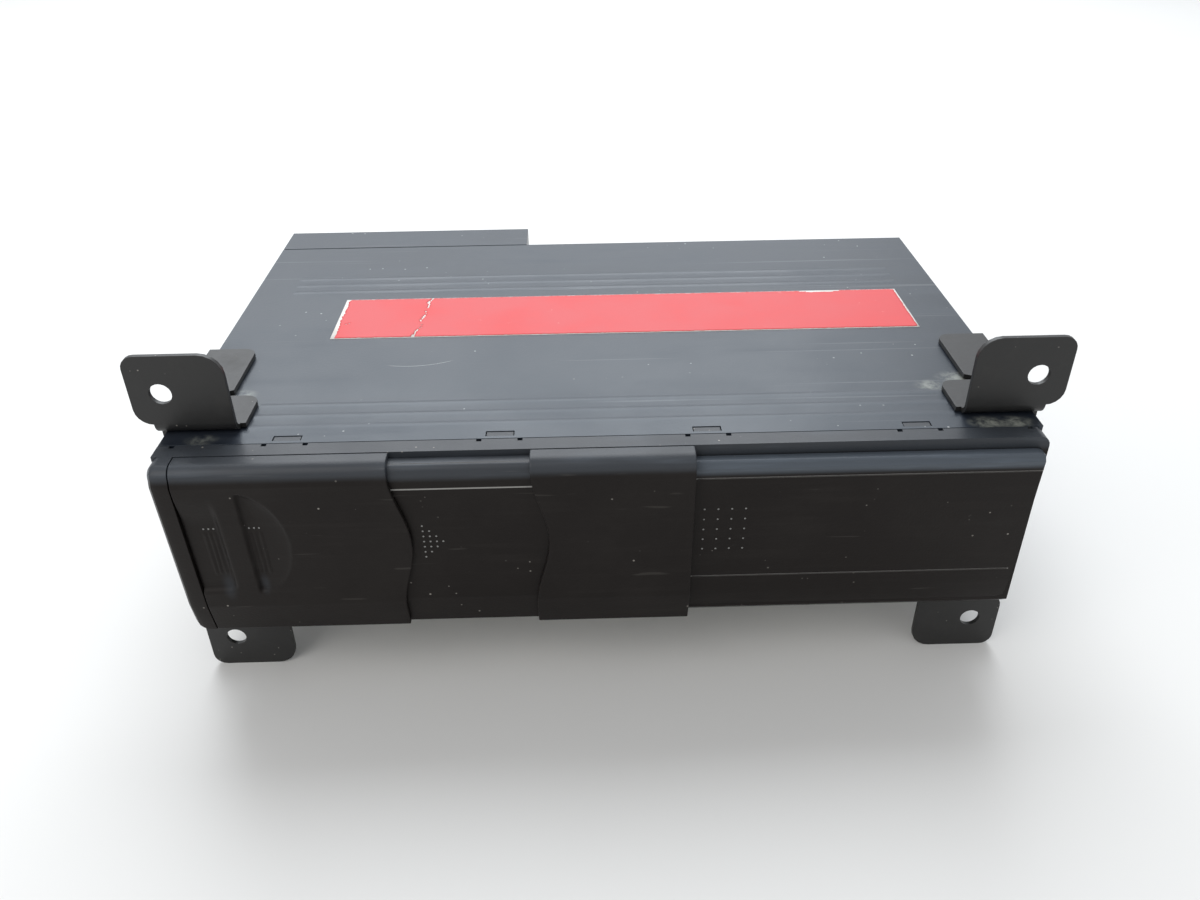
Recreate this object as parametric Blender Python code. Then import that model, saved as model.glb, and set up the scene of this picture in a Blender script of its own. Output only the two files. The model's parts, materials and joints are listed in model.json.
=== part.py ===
# Car disc changer with a six-disc magazine, built as separate pieces.
# Metres, +Z up. The front faces -Y. The origin is the middle of the base of the whole part's box.
import math
import bpy
import bmesh
from mathutils import Matrix, Vector

# Shared fits
GAP = 0.0003            # between pieces that touch or run beside each other
PLAY = 0.0002           # round a shaft in its hole
OVERRUN = 0.002         # how far a cutter passes the face that it opens
WELD = 0.000025         # points of a turned piece that are nearer than this become one
ROUND_SIDES = 24
SMALL_SIDES = 12
DISC_SIDES = 40
ARC_STEPS = 5
SMOOTH_DEGREES = 24

# Case
CASE_WIDTH = 0.255
CASE_HEIGHT = 0.065
CASE_DEPTH = 0.1495     # steel cover, without the rear bay
BAY_DEPTH = 0.0183      # deeper bay at the rear left
BAY_WIDTH = 0.100
SHEET = 0.001
PAN_SIDE_HEIGHT = 0.012
BEAD_WIDTH = 0.0040
BEAD_CREST = 0.0014     # flat along the top of a bead
BEAD_HEIGHT = 0.00032
FRONT_BEAD_PITCH = 0.0062
FRONT_BEAD_FIRST = 0.0085
FRONT_BEAD_REACH = 0.104
REAR_BEAD_PITCH = 0.006
REAR_BEAD_FIRST = 0.105
REAR_BEAD_REACH = 0.113
BEAD_COUNT = 3
CREASE_WIDTH = 0.0006
CREASE_DEPTH = 0.0004
SLOT_LENGTH = 0.0083
SLOT_WIDTH = 0.0026
SLOT_SETBACK = 0.0013
SLOT_PLACES = (-0.0913, -0.030, 0.030, 0.0913)
FINGER_SPREAD = 0.0059  # from a slot's middle to the notch on each side
END_NOTCH = 0.1233
NOTCH_WIDTH = 0.0015
NOTCH_DEPTH = 0.0012
FINGER_REACH = 0.0065
FINGER_THICK = 0.0012
HOOK_DROP = 0.0002      # from the cover's top to the finger's hook in its slot

# Label
LABEL_LEFT = -0.0917
LABEL_RIGHT = 0.111
LABEL_FRONT = 0.0657
LABEL_REAR = 0.0976
LABEL_THICK = 0.0002

# Front frame and the door leaves
FRONT_DEPTH = 0.0138    # from the cover to the face of the outer leaf
FLANGE_DEPTH = 0.006
FRONT_WALL = 0.0025
RIM_WALL = 0.0025
FRAME_CHAMFER = 0.004   # along the frame's lower front edge
FRAME_ROUND = 0.003     # the frame's two right corners, seen from the front
LEAF_WALL = 0.0015
LEAF_STEP = LEAF_WALL + GAP
EDGE_DROP = 0.0037
EDGE_ROUND_LEAST = 0.0012   # the top edge's radius on the inmost layer
BROW_DROP = 0.0057      # where the face starts
FACE_DROP = 0.0510      # where the face starts to lean back more
FACE_LEAN = 0.0022      # how far the face leans back down to there
SLANT_BACK = 0.0022     # and how far from there to its lower end
SLANT_DROP = 0.0620
SLANT_ROWS = 3
BROW_BACK = 0.0006
STRIP_RIGHT = -0.1214   # seam between the end strip and the outer leaf
STRIP_ROUND = 0.0026     # outer vertical edge of the end strip
PANEL_END_ROUND = 0.001
FRONT_CORNER = 0.005    # lower corners of the front, seen from the front
FRONT_CORNER_UPPER = 0.004
END_STEPS = 3
WAVE_BASE = -0.0611     # outer leaf's right edge, away from the bulge
WAVE_BULGE = 0.0045
WAVE_MIDDLE_DROP = 0.028
WAVE_HALF = 0.0255
WAVE_ROWS = 14
BAND_LEFT = -0.0211
BAND_RIGHT = 0.0255
BAND_WALL = 0.0022
OPEN_MARGIN = 0.007     # left between the band and the side when the door is open
PLATE_LEFT = -0.066
PANEL_LEFT = 0.0152
PANEL_END_WALL = 0.004
LINE_WIDTH = 0.0005
LINE_DEPTH = 0.0004
UPPER_LINE_DROP = 0.009
LOWER_LINE_DROP = 0.0465
LINE_LEFT = 0.0262
UPPER_LINE_RIGHT = 0.1253
LOWER_LINE_RIGHT = 0.1238
RAIL_DEPTH = 0.0024
LOWER_RAIL_DEPTH = 0.0009
RAIL_HEIGHT = 0.0024
GRIP_TOP_DROP = 0.0085
GRIP_BOTTOM_DROP = 0.0455
GRIP_DEPTH = 0.0010
GRIP_BAR_LEFT = -0.1100
GRIP_BAR_RIGHT = -0.1042
GRIP_ROUND = 0.003
GRIP_D_REACH = 0.0125
GRIP_D_STEPS = 10

# Brackets
BRACKET_SHEET = 0.0015
BRACKET_STANDOFF = 0.0003
BRACKET_FRONT = 0.005
BRACKET_BEND = 0.0022
FOOT_INNER = 0.1045
FOOT_BREAK = 0.025
FOOT_NOTCH = 0.0035
FOOT_NOTCH_INNER = 0.117
FOOT_REAR_INNER = 0.1135
FOOT_REAR = 0.0565
FOOT_ROUND = 0.004
TAB_RISE = 0.026        # how far the ears stand above and below the case
UPPER_EAR_INNER = 0.106
UPPER_EAR_OUTER = 0.134
LOWER_EAR_INNER = 0.1045
LOWER_EAR_OUTER = 0.1322
EAR_ROUND_INNER = 0.0065
EAR_ROUND_OUTER = 0.004
EAR_ROUND_ROOT = 0.005
EAR_HOLE_RADIUS = 0.0032
UPPER_HOLE_PLACE = 0.125
LOWER_HOLE_PLACE = 0.123
HOLE_FROM_END = 0.012
SIDE_SCREW_PLACES = (0.016, 0.046)
SIDE_SCREW_RADIUS = 0.0018
SIDE_SCREW_HEAD_RADIUS = 0.0034
SIDE_SCREW_HEAD = 0.0019
SIDE_BOSS_RADIUS = 0.004
SIDE_BOSS_DEPTH = 0.0026
SCREW_SLOT_SHARE = 0.33     # of the screw's radius, half the width of the cross in its head

# Case screws, low on the sides and the back
CASE_SCREW_RADIUS = 0.0014
CASE_SCREW_HEAD_RADIUS = 0.0026
CASE_SCREW_HEAD = 0.0014
CASE_SCREW_LENGTH = 0.005
CASE_SCREW_RISE = 0.0065
CASE_SCREW_DEPTHS = (0.070, 0.126)

# Magazine, its bay and what it carries
DISC_RADIUS = 0.060
DISC_THICK = 0.0012
DISC_COUNT = 6
TRAY_PITCH = 0.0064
TRAY_WIDTH = 0.1215
TRAY_DEPTH = 0.1235
TRAY_THICK = 0.0028
TRAY_FLOOR = 0.0012
TRAY_OPENING_RADIUS = 0.021
TRAY_RECESS_PLAY = 0.0004
MAGAZINE_LEFT = -0.1196
MAGAZINE_WALL = 0.0018
MAGAZINE_RISE = 0.0110  # above the case's underside
MAGAZINE_FRONT_SETBACK = 0.0012   # behind the face of the flange
BAY_SHELF = 0.0015
BAY_LEG_RADIUS = 0.003
BAY_RAIL = 0.0015
BAY_RAIL_HEIGHT = 0.030
MOUTH_CLEARANCE = 0.0006

# Eject button, spring and latch
BUTTON_LEFT = 0.0088
BUTTON_WIDTH = 0.004
BUTTON_RISE = 0.0040    # above the case's underside
BUTTON_HEIGHT = 0.0062
BUTTON_STROKE = 0.0025
BUTTON_COLLAR = 0.001
BUTTON_COLLAR_LIP = 0.0007
STEM_RADIUS = 0.0012
STEM_REACH = 0.0100     # behind the front wall
STOP_SETBACK = 0.0078   # spring stop, behind the front wall
STOP_SHEET = 0.001
STOP_HEIGHT = 0.0095
STOP_MARGIN = 0.0025
SPRING_RADIUS = 0.0021
SPRING_WIRE = 0.00025
SPRING_TURNS = 5
SPRING_STEPS = 10
LATCH_RISE = 0.0063
LATCH_THICK = 0.0015
LATCH_WIDTH = 0.0036
LATCH_PIVOT_X = 0.0040
LATCH_RIGHT = 0.0125
LATCH_LEFT = -0.0085
LATCH_PIN_RADIUS = 0.0013
LATCH_EYE_RADIUS = 0.0032
LATCH_COLLAR_RADIUS = 0.0019
HOOK_SIDE = 0.0022
HOOK_RISE = 0.0047
HOOK_TRAVEL = 0.0052    # length of the window that the hook swings in
HOOK_WINDOW_MARGIN = 0.0012

# Play position, lift and cams
PLAY_X = 0.054
LIFT_TRAVEL = TRAY_PITCH * (DISC_COUNT - 1)
CAM_TRAVEL = 0.016
LIFT_RISE = 0.0040
LIFT_SHEET = 0.0012
LIFT_LEFT = 0.010
LIFT_RIGHT = 0.116
LIFT_FRONT = -0.060
LIFT_REAR = 0.056
LIFT_CORNER_X = 0.085
LIFT_CORNER_Y = 0.024
LIFT_OPENING = (0.030, -0.036, 0.081, 0.0515)
LIFT_FLANGE_HEIGHT = 0.010
LIFT_PIN_RADIUS = 0.0014
LIFT_PIN_RISE = 0.0080
LIFT_PIN_REACH = 0.0049
SIDE_PIN_PLACES = (-0.038, 0.008)
REAR_PIN_PLACES = (0.026, 0.066)
CAM_SHEET = 0.0015
CAM_STANDOFF = 0.0018
CAM_RISE = 0.0016       # above the case's underside
CAM_MARGIN = 0.0055
CAM_SLOT_PLAY = 0.0004
CAM_ARM_HEIGHT = 0.0052
CAM_FOOT_THICK = 0.0014
CAM_FOOT_WIDTH = 0.0045
TOOTH_MODULE = 0.001
CORNER_TEETH = 16
MOTOR_TEETH = 8
RACK_TEETH = 7
CORNER_GEAR_X = 0.104
CORNER_GEAR_Y = 0.046
GEAR_BACKLASH = 0.00015
GEAR_AXLE_RADIUS = 0.0014
ROOT_DEPTH_SHARE = 1.1
TIP_HEIGHT_SHARE = 0.8
TOOTH_WIDTH_SHARES = (0.27, 0.19, 0.10)   # half widths at root, pitch and tip, per pitch
POST_RADIUS = 0.00125
POST_PLACES = ((0.0135, 0.0510), (0.111, -0.056), (0.111, 0.019))
BUSH_RADIUS = 0.0026
BUSH_HEIGHT = 0.008

# Lift motor and its plate
MOTOR_PLATE_RISE = 0.0055
MOTOR_PLATE_SHEET = 0.0012
MOTOR_PLATE_BOX = (0.086, 0.027, 0.110, 0.053)
MOTOR_LEG_RADIUS = 0.002
MOTOR_LEG_PLACES = ((0.089, 0.030), (0.089, 0.050), (0.107, 0.030))
LIFT_MOTOR_RADIUS = 0.0075
LIFT_MOTOR_HEIGHT = 0.020
LIFT_MOTOR_CHAMFER = 0.001
LIFT_MOTOR_SHAFT_RADIUS = 0.0009

# Play deck
DECK_RISE = 0.0075
DECK_SHEET = 0.0015
DECK_LEFT = 0.018
DECK_RIGHT = 0.103
DECK_FRONT = -0.048
DECK_REAR = 0.0505
DECK_CORNER_X = 0.083
DECK_CORNER_Y = 0.016
SLED_OPENING = (0.034, -0.0045, 0.077, 0.046)
DAMPER_PLACES = ((0.023, -0.042), (0.097, -0.042), (0.023, 0.042))
DAMPER_RADIUS = 0.004
DECK_SCREW_RADIUS = 0.0013
DECK_SCREW_HEAD_RADIUS = 0.0028
DECK_SCREW_HEAD = 0.0012
SPINDLE_MOTOR_RADIUS = 0.011
SPINDLE_MOTOR_HEIGHT = 0.0048
SPINDLE_RADIUS = 0.001
TURNTABLE_RADIUS = 0.014
TURNTABLE_THICK = 0.0022
HUB_RADIUS = 0.0072
HUB_HEIGHT = 0.001
HUB_CHAMFER = 0.0008
TURNTABLE_NECK_RADIUS = 0.005
ROD_PLACES = (0.038, 0.068)
ROD_RADIUS = 0.0012
ROD_RISE = 0.0056
ROD_CLIP_HALF = 0.0028
ROD_CLIP_LENGTH = 0.0035
ROD_CLIP_MARGIN = 0.001
ROD_CLIP_WALL = 0.0006
SCREW_X = 0.0735
SLED_LEFT = 0.0352
SLED_RIGHT = 0.0762
SLED_FRONT = -0.0030
SLED_LENGTH = 0.015
SLED_RISE = 0.0030
SLED_HEIGHT = 0.0068
SLED_TRAVEL = 0.032
SCREW_PITCH = 0.003
LENS_RADIUS = 0.0035
LENS_HEIGHT = 0.0018
LENS_CROWN_SHARES = (0.5, 0.17)   # of its radius, and of its height below the top
LENS_RIM_SHARE = 0.33
LENS_FROM_FRONT = 0.0105
SLED_MOTOR_RADIUS = 0.0038
SLED_MOTOR_LENGTH = 0.020
SLED_MOTOR_REAR = -0.0115
SLED_MOTOR_WINDOW_MARGIN = 0.0008

# Clamp arm, puck and tray hook
CLAMP_LEFT = 0.045
CLAMP_RIGHT = 0.063
CLAMP_TIP_HALF = 0.0065
CLAMP_FRONT = -0.028
CLAMP_RISE = 0.0204
CLAMP_SHEET = 0.0012
CLAMP_PIN_Y = 0.0515
CLAMP_PIN_RISE = 0.0212
CLAMP_PIN_RADIUS = 0.0011
CLAMP_BARREL_RADIUS = 0.0023
CLAMP_EAR = 0.0015
CLAMP_EAR_MARGIN = 0.0008
CLAMP_EAR_TOP = 0.0240
PUCK_RADIUS = 0.013
PUCK_THICK = 0.0028
PUCK_STEM_RADIUS = 0.002
PUCK_CAP_RADIUS = 0.0035
PUCK_CAP = 0.001
HOOK_ARM_X = 0.014
HOOK_ARM_Y = 0.038
HOOK_ARM_LENGTH = 0.024
HOOK_ARM_HALF = 0.002
HOOK_ARM_THICK = 0.0012
HOOK_ARM_RISE = 0.0112
HOOK_ARM_PIN_RADIUS = 0.0012

# Electronics in the rear bay
BOARD_BOX = (-0.122, 0.0525, -0.032, 0.0880)
BOARD_RISE = 0.014
BOARD_THICK = 0.0016
BOARD_POST_RADIUS = 0.0025
BOARD_POST_INSET = 0.005
CHIP_HEIGHT = 0.0022
PROCESSOR_SHARES = (0.10, 0.15, 0.30, 0.62)
SMALL_CHIP_SHARES = ((0.38, 0.12, 0.52, 0.50), (0.40, 0.62, 0.50, 0.88))
CAPACITOR_RADIUS = 0.004
CAPACITOR_HEIGHT = 0.011
CAPACITOR_SHARES = ((0.59, 0.16), (0.72, 0.16), (0.85, 0.16))
SOCKET_LEFT = -0.062
SOCKET_WIDTH = 0.024
SOCKET_DEPTH = 0.013
SOCKET_HEIGHT = 0.013
SOCKET_WALL = 0.0015
SOCKET_HOLLOW = 0.0095
SOCKET_PIN_RADIUS = 0.0006
SOCKET_PIN_LENGTH = 0.0045
SOCKET_PIN_COUNT = 6
SOCKET_ROW_SHARES = (0.33, 0.67)
CONTACT_BASE = 0.001

# Places that follow from the sizes above
DEPTH = FRONT_DEPTH + CASE_DEPTH + BAY_DEPTH
FACE_Y = -DEPTH / 2
CASE_Y = FACE_Y + FRONT_DEPTH
FLANGE_Y = CASE_Y - FLANGE_DEPTH
REAR_Y = CASE_Y + CASE_DEPTH
BAY_Y = REAR_Y + BAY_DEPTH
SIDE_X = CASE_WIDTH / 2
BAY_X = -SIDE_X + BAY_WIDTH
BASE_Z = TAB_RISE
TOP_Z = BASE_Z + CASE_HEIGHT
FLOOR_Z = BASE_Z + SHEET
LEAF_BACK = FLANGE_Y - GAP
LEAF_OPEN_TRAVEL = BAND_LEFT - WAVE_BASE - GAP - PLAY
INNER_OPEN_TRAVEL = SIDE_X - OPEN_MARGIN - BAND_RIGHT
MAGAZINE_RIGHT = MAGAZINE_LEFT + MAGAZINE_WALL + TRAY_WIDTH + 2 * GAP
MAGAZINE_FRONT = FLANGE_Y + MAGAZINE_FRONT_SETBACK
MAGAZINE_REAR = MAGAZINE_FRONT + TRAY_DEPTH + 2 * MAGAZINE_WALL + 2 * GAP
MAGAZINE_Z = BASE_Z + MAGAZINE_RISE
FIRST_TRAY_Z = MAGAZINE_Z + MAGAZINE_WALL + GAP
MAGAZINE_TOP = FIRST_TRAY_Z + LIFT_TRAVEL + TRAY_THICK + GAP + MAGAZINE_WALL
STACK_X = MAGAZINE_LEFT + MAGAZINE_WALL + GAP + TRAY_WIDTH / 2
STACK_Y = MAGAZINE_FRONT + MAGAZINE_WALL + GAP + TRAY_DEPTH / 2
DISC_Z = FIRST_TRAY_Z + TRAY_FLOOR + GAP
PLAY_Y = STACK_Y
LIFT_Z = BASE_Z + LIFT_RISE
DECK_Z = BASE_Z + DECK_RISE
DECK_TOP = DECK_Z + DECK_SHEET
PIN_Z = BASE_Z + LIFT_PIN_RISE
CAM_Z = BASE_Z + CAM_RISE
RACK_PITCH = math.pi * TOOTH_MODULE
REAR_CAM_Z = CAM_Z + CAM_FOOT_THICK + GAP
GEAR_THICK = 2 * CAM_FOOT_THICK + GAP
CORNER_RADIUS = CORNER_TEETH * TOOTH_MODULE / 2
MOTOR_RADIUS = MOTOR_TEETH * TOOTH_MODULE / 2
MOTOR_OFFSET = (CORNER_RADIUS + MOTOR_RADIUS + GEAR_BACKLASH) / math.sqrt(2)
MOTOR_X = CORNER_GEAR_X - MOTOR_OFFSET
MOTOR_Y = CORNER_GEAR_Y - MOTOR_OFFSET
ROD_Z = BASE_Z + ROD_RISE

# Finishes: colour, roughness, metallic
FINISHES = {
    "cover_paint": ((0.030, 0.034, 0.040), 0.45, 0.3),
    "front_plastic": ((0.014, 0.014, 0.015), 0.42, 0.0),
    "bracket_coat": ((0.012, 0.012, 0.013), 0.40, 0.2),
    "label_red": ((0.55, 0.045, 0.045), 0.5, 0.0),
    "zinc_steel": ((0.55, 0.55, 0.53), 0.35, 1.0),
    "dark_screw": ((0.05, 0.05, 0.05), 0.4, 0.8),
    "inner_plastic": ((0.05, 0.05, 0.055), 0.5, 0.0),
    "tray_plastic": ((0.10, 0.10, 0.11), 0.5, 0.0),
    "white_nylon": ((0.75, 0.74, 0.70), 0.45, 0.0),
    "rubber": ((0.03, 0.03, 0.03), 0.8, 0.0),
    "brass": ((0.70, 0.52, 0.22), 0.35, 1.0),
    "lens_glass": ((0.10, 0.12, 0.35), 0.05, 0.0),
    "board_green": ((0.03, 0.16, 0.07), 0.45, 0.0),
    "chip_black": ((0.03, 0.03, 0.03), 0.5, 0.0),
    "can_aluminium": ((0.70, 0.71, 0.72), 0.3, 1.0),
}


def finish(kind):
    material = bpy.data.materials.get(kind)
    if material is None:
        material = bpy.data.materials.new(kind)
        material.use_nodes = True
        color, roughness, metallic = FINISHES[kind]
        shader = material.node_tree.nodes["Principled BSDF"]
        shader.inputs["Base Color"].default_value = (*color, 1)
        shader.inputs["Roughness"].default_value = roughness
        shader.inputs["Metallic"].default_value = metallic
        material.diffuse_color = (*color, 1)
    return material


# Simple shapes, each returned as its own bmesh
def prism(outline, axis, start, end):
    """A flat outline pushed along an axis. Along X it holds (y, z), along Y (x, z), along Z (x, y)."""
    place = {
        "X": lambda a, b: (start, a, b),
        "Y": lambda a, b: (a, start, b),
        "Z": lambda a, b: (a, b, start),
    }[axis]
    shape = bmesh.new()
    base = shape.faces.new([shape.verts.new(place(a, b)) for a, b in outline])
    pushed = bmesh.ops.extrude_face_region(shape, geom=[base])
    step = Vector([end - start if axis == letter else 0 for letter in "XYZ"])
    moved = [item for item in pushed["geom"] if isinstance(item, bmesh.types.BMVert)]
    bmesh.ops.translate(shape, verts=moved, vec=step)
    bmesh.ops.recalc_face_normals(shape, faces=shape.faces)
    return shape


def block(low, high):
    return prism(rectangle(low[0], low[1], high[0], high[1]), "Z", low[2], high[2])


def rectangle(left, front, right, rear):
    return [(left, front), (right, front), (right, rear), (left, rear)]


def circle(middle, radius, sides):
    turn = 2 * math.pi / sides
    return [(middle[0] + radius * math.cos(turn * step), middle[1] + radius * math.sin(turn * step))
            for step in range(sides)]


def rod(axis, middle, radius, start, end, sides=SMALL_SIDES):
    return prism(circle(middle, radius, sides), axis, start, end)


def merged(shapes):
    """Several bodies in one mesh, left separate."""
    whole = bmesh.new()
    for shape in shapes:
        mesh = bpy.data.meshes.new("part_of_group")
        shape.to_mesh(mesh)
        shape.free()
        whole.from_mesh(mesh)
        bpy.data.meshes.remove(mesh)
    whole.normal_update()
    return whole


def turned(profile, middle, sides=ROUND_SIDES):
    """A profile of (radius, height) points, top to bottom on the outside, turned about a vertical axis."""
    shape = bmesh.new()
    points = [shape.verts.new((middle[0] + radius, middle[1], height)) for radius, height in profile]
    pairs = list(zip(points, points[1:]))
    if profile[0][0] > 0:
        pairs.append((points[-1], points[0]))
    edges = [shape.edges.new(pair) for pair in pairs]
    bmesh.ops.spin(shape, geom=points + edges, cent=(*middle, 0), axis=(0, 0, 1), angle=2 * math.pi,
                   steps=sides, use_merge=True)
    bmesh.ops.remove_doubles(shape, verts=shape.verts, dist=WELD)
    bmesh.ops.dissolve_degenerate(shape, edges=shape.edges, dist=WELD)
    bmesh.ops.recalc_face_normals(shape, faces=shape.faces)
    return shape


def arc(middle, radius, start, end, steps=ARC_STEPS):
    """Points on an arc, with its angles in degrees."""
    angles = [math.radians(start + (end - start) * step / steps) for step in range(steps + 1)]
    return [(middle[0] + radius * math.cos(angle), middle[1] + radius * math.sin(angle))
            for angle in angles]


def rounded(left, low, right, high, radii):
    """A rectangle whose corners, from the lower left round to the upper left, have their own radii."""
    corners = ((left, low, 1, 1, 180), (right, low, -1, 1, 270), (right, high, -1, -1, 0),
               (left, high, 1, -1, 90))
    outline = []
    for (x, z, inward_x, inward_z, angle), radius in zip(corners, radii):
        if radius:
            outline += arc((x + inward_x * radius, z + inward_z * radius), radius, angle, angle + 90)
        else:
            outline.append((x, z))
    return outline


def inset(outline, distance):
    """A closed outline, anticlockwise, moved inwards by one distance on all sides."""
    moved = []
    count = len(outline)
    for index in range(count):
        before, here, after = (Vector(outline[(index + step) % count]) for step in (-1, 0, 1))
        first = (here - before).normalized()
        second = (after - here).normalized()
        left_first = Vector((-first.y, first.x))
        left_second = Vector((-second.y, second.x))
        corner = (left_first + left_second).normalized()
        moved.append(tuple(here + corner * distance / corner.dot(left_first)))
    return moved


# Objects
def make(name, shape, kind, smooth=False):
    mesh = bpy.data.meshes.new(name)
    shape.to_mesh(mesh)
    shape.free()
    node = bpy.data.objects.new(name, mesh)
    bpy.context.scene.collection.objects.link(node)
    mesh.materials.append(finish(kind))
    if smooth:
        mesh.shade_smooth()
        mesh.set_sharp_from_angle(angle=math.radians(SMOOTH_DEGREES))
    return node


def combine(node, shape, operation):
    """Adds a shape to a piece, or cuts it away."""
    kind = node.data.materials[0]
    tool = bpy.data.objects.new("tool", bpy.data.meshes.new("tool"))
    shape.to_mesh(tool.data)
    shape.free()
    tool.hide_render = True
    tool.display_type = "WIRE"
    bpy.context.scene.collection.objects.link(tool)
    change = node.modifiers.new("shape", "BOOLEAN")
    change.operation = operation
    change.solver = "EXACT"
    change.object = tool
    done = bpy.data.meshes.new_from_object(node.evaluated_get(bpy.context.evaluated_depsgraph_get()))
    node.modifiers.clear()
    node.data = done
    done.name = node.name
    done.materials.clear()
    done.materials.append(kind)
    bpy.data.objects.remove(tool)


def add(node, *shapes):
    for shape in shapes:
        combine(node, shape, "UNION")


def cut(node, *shapes):
    for shape in shapes:
        combine(node, shape, "DIFFERENCE")


def carry(name, point, nodes):
    """An empty on a joint's axis, with the pieces that move about it as its children."""
    bpy.context.view_layer.update()
    holder = bpy.data.objects.new(name, None)
    holder.location = point
    bpy.context.scene.collection.objects.link(holder)
    bpy.context.view_layer.update()
    for node in nodes:
        node.parent = holder
        node.matrix_parent_inverse = holder.matrix_world.inverted()
    return holder


def shape_of(node):
    """Takes a finished helper piece apart again, to be joined to another."""
    shape = bmesh.new()
    shape.from_mesh(node.data)
    bpy.data.objects.remove(node)
    return shape


# Case
def case_outline(shrink=0.0):
    outline = [(-SIDE_X, CASE_Y), (SIDE_X, CASE_Y), (SIDE_X, REAR_Y), (BAY_X, REAR_Y), (BAY_X, BAY_Y),
               (-SIDE_X, BAY_Y)]
    return inset(outline, shrink) if shrink else outline


def open_front(outline):
    """The same outline with its front edge moved out past the case's front."""
    front = min(y for x, y in outline)
    return [(x, CASE_Y - OVERRUN if y == front else y) for x, y in outline]


def bead(middle, reach):
    half, crest = BEAD_WIDTH / 2, BEAD_CREST / 2
    low = TOP_Z - SHEET / 2
    outline = [(middle - half, low), (middle + half, low), (middle + half, TOP_Z),
               (middle + crest, TOP_Z + BEAD_HEIGHT), (middle - crest, TOP_Z + BEAD_HEIGHT),
               (middle - half, TOP_Z)]
    return prism(outline, "X", -reach, reach)


def side_holes(places, height, radius, start, end):
    """Rods along X through both side walls, as one group of cutters."""
    rods = []
    for place in places:
        for side in (-1, 1):
            ends = sorted((side * start, side * end))
            rods.append(rod("X", (CASE_Y + place, height), radius, *ends))
    return merged(rods)


SIDE_SCREW_Z = (BASE_Z + TOP_Z) / 2
CASE_SCREW_Z = BASE_Z + CASE_SCREW_RISE


def build_top_cover():
    cover = make("top_cover", prism(case_outline(), "Z", FLOOR_Z + GAP, TOP_Z), "cover_paint")
    cut(cover, prism(open_front(case_outline(SHEET)), "Z", FLOOR_Z - OVERRUN, TOP_Z - SHEET))
    for count in range(BEAD_COUNT):
        add(cover, bead(CASE_Y + FRONT_BEAD_FIRST + count * FRONT_BEAD_PITCH, FRONT_BEAD_REACH),
            bead(CASE_Y + REAR_BEAD_FIRST + count * REAR_BEAD_PITCH, REAR_BEAD_REACH))
    bosses = side_holes(SIDE_SCREW_PLACES, SIDE_SCREW_Z, SIDE_BOSS_RADIUS,
                        SIDE_X - SHEET - SIDE_BOSS_DEPTH, SIDE_X - SHEET / 2)
    add(cover, bosses)
    cut(cover, side_holes(SIDE_SCREW_PLACES, SIDE_SCREW_Z, SIDE_SCREW_RADIUS + PLAY,
                          SIDE_X - SHEET - SIDE_BOSS_DEPTH - OVERRUN, SIDE_X + OVERRUN))
    cut(cover, side_holes(CASE_SCREW_DEPTHS, CASE_SCREW_Z, CASE_SCREW_RADIUS + PLAY,
                          SIDE_X - SHEET - OVERRUN, SIDE_X + OVERRUN))
    slots = [block((place - SLOT_LENGTH / 2, CASE_Y + SLOT_SETBACK, TOP_Z - SHEET - OVERRUN),
                   (place + SLOT_LENGTH / 2, CASE_Y + SLOT_SETBACK + SLOT_WIDTH, TOP_Z + OVERRUN))
             for place in SLOT_PLACES]
    cut(cover, merged(slots))
    crease = block((-SIDE_X - OVERRUN, REAR_Y - CREASE_WIDTH / 2, TOP_Z - CREASE_DEPTH),
                   (BAY_X, REAR_Y + CREASE_WIDTH / 2, TOP_Z + OVERRUN))
    socket_low = BASE_Z + BOARD_RISE + BOARD_THICK + GAP
    window = block((SOCKET_LEFT - GAP, BAY_Y - SHEET - OVERRUN, socket_low - GAP),
                   (SOCKET_LEFT + SOCKET_WIDTH + GAP, BAY_Y + OVERRUN, socket_low + SOCKET_HEIGHT + GAP))
    cut(cover, crease, window)
    return cover


def build_chassis_pan():
    inner = SHEET + GAP
    pan = make("chassis_pan", prism(case_outline(), "Z", BASE_Z, FLOOR_Z), "zinc_steel")
    walls = make("walls", prism(case_outline(inner), "Z", BASE_Z + SHEET / 2, BASE_Z + PAN_SIDE_HEIGHT),
                 "zinc_steel")
    cut(walls, prism(open_front(case_outline(inner + SHEET)), "Z", FLOOR_Z, TOP_Z))
    add(pan, shape_of(walls))
    cut(pan, side_holes(CASE_SCREW_DEPTHS, CASE_SCREW_Z, CASE_SCREW_RADIUS + PLAY,
                        SIDE_X - inner - SHEET - OVERRUN, SIDE_X + OVERRUN))
    for place in board_corners():
        add(pan, rod("Z", place, BOARD_POST_RADIUS, BASE_Z + SHEET / 2, BOARD_Z - GAP))
    for place in POST_PLACES:
        add(pan, rod("Z", place, POST_RADIUS, BASE_Z + SHEET / 2, TOP_Z - SHEET - GAP))
    left, right = BUTTON_LEFT - STOP_MARGIN, BUTTON_RIGHT + STOP_MARGIN
    add(pan, block((left, STOP_Y, BASE_Z + SHEET / 2), (right, STOP_Y + STOP_SHEET, BASE_Z + STOP_HEIGHT)))
    cut(pan, rod("Y", BUTTON_MIDDLE, STEM_RADIUS + PLAY, STOP_Y - OVERRUN, STOP_Y + STOP_SHEET + OVERRUN))
    return pan


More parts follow.
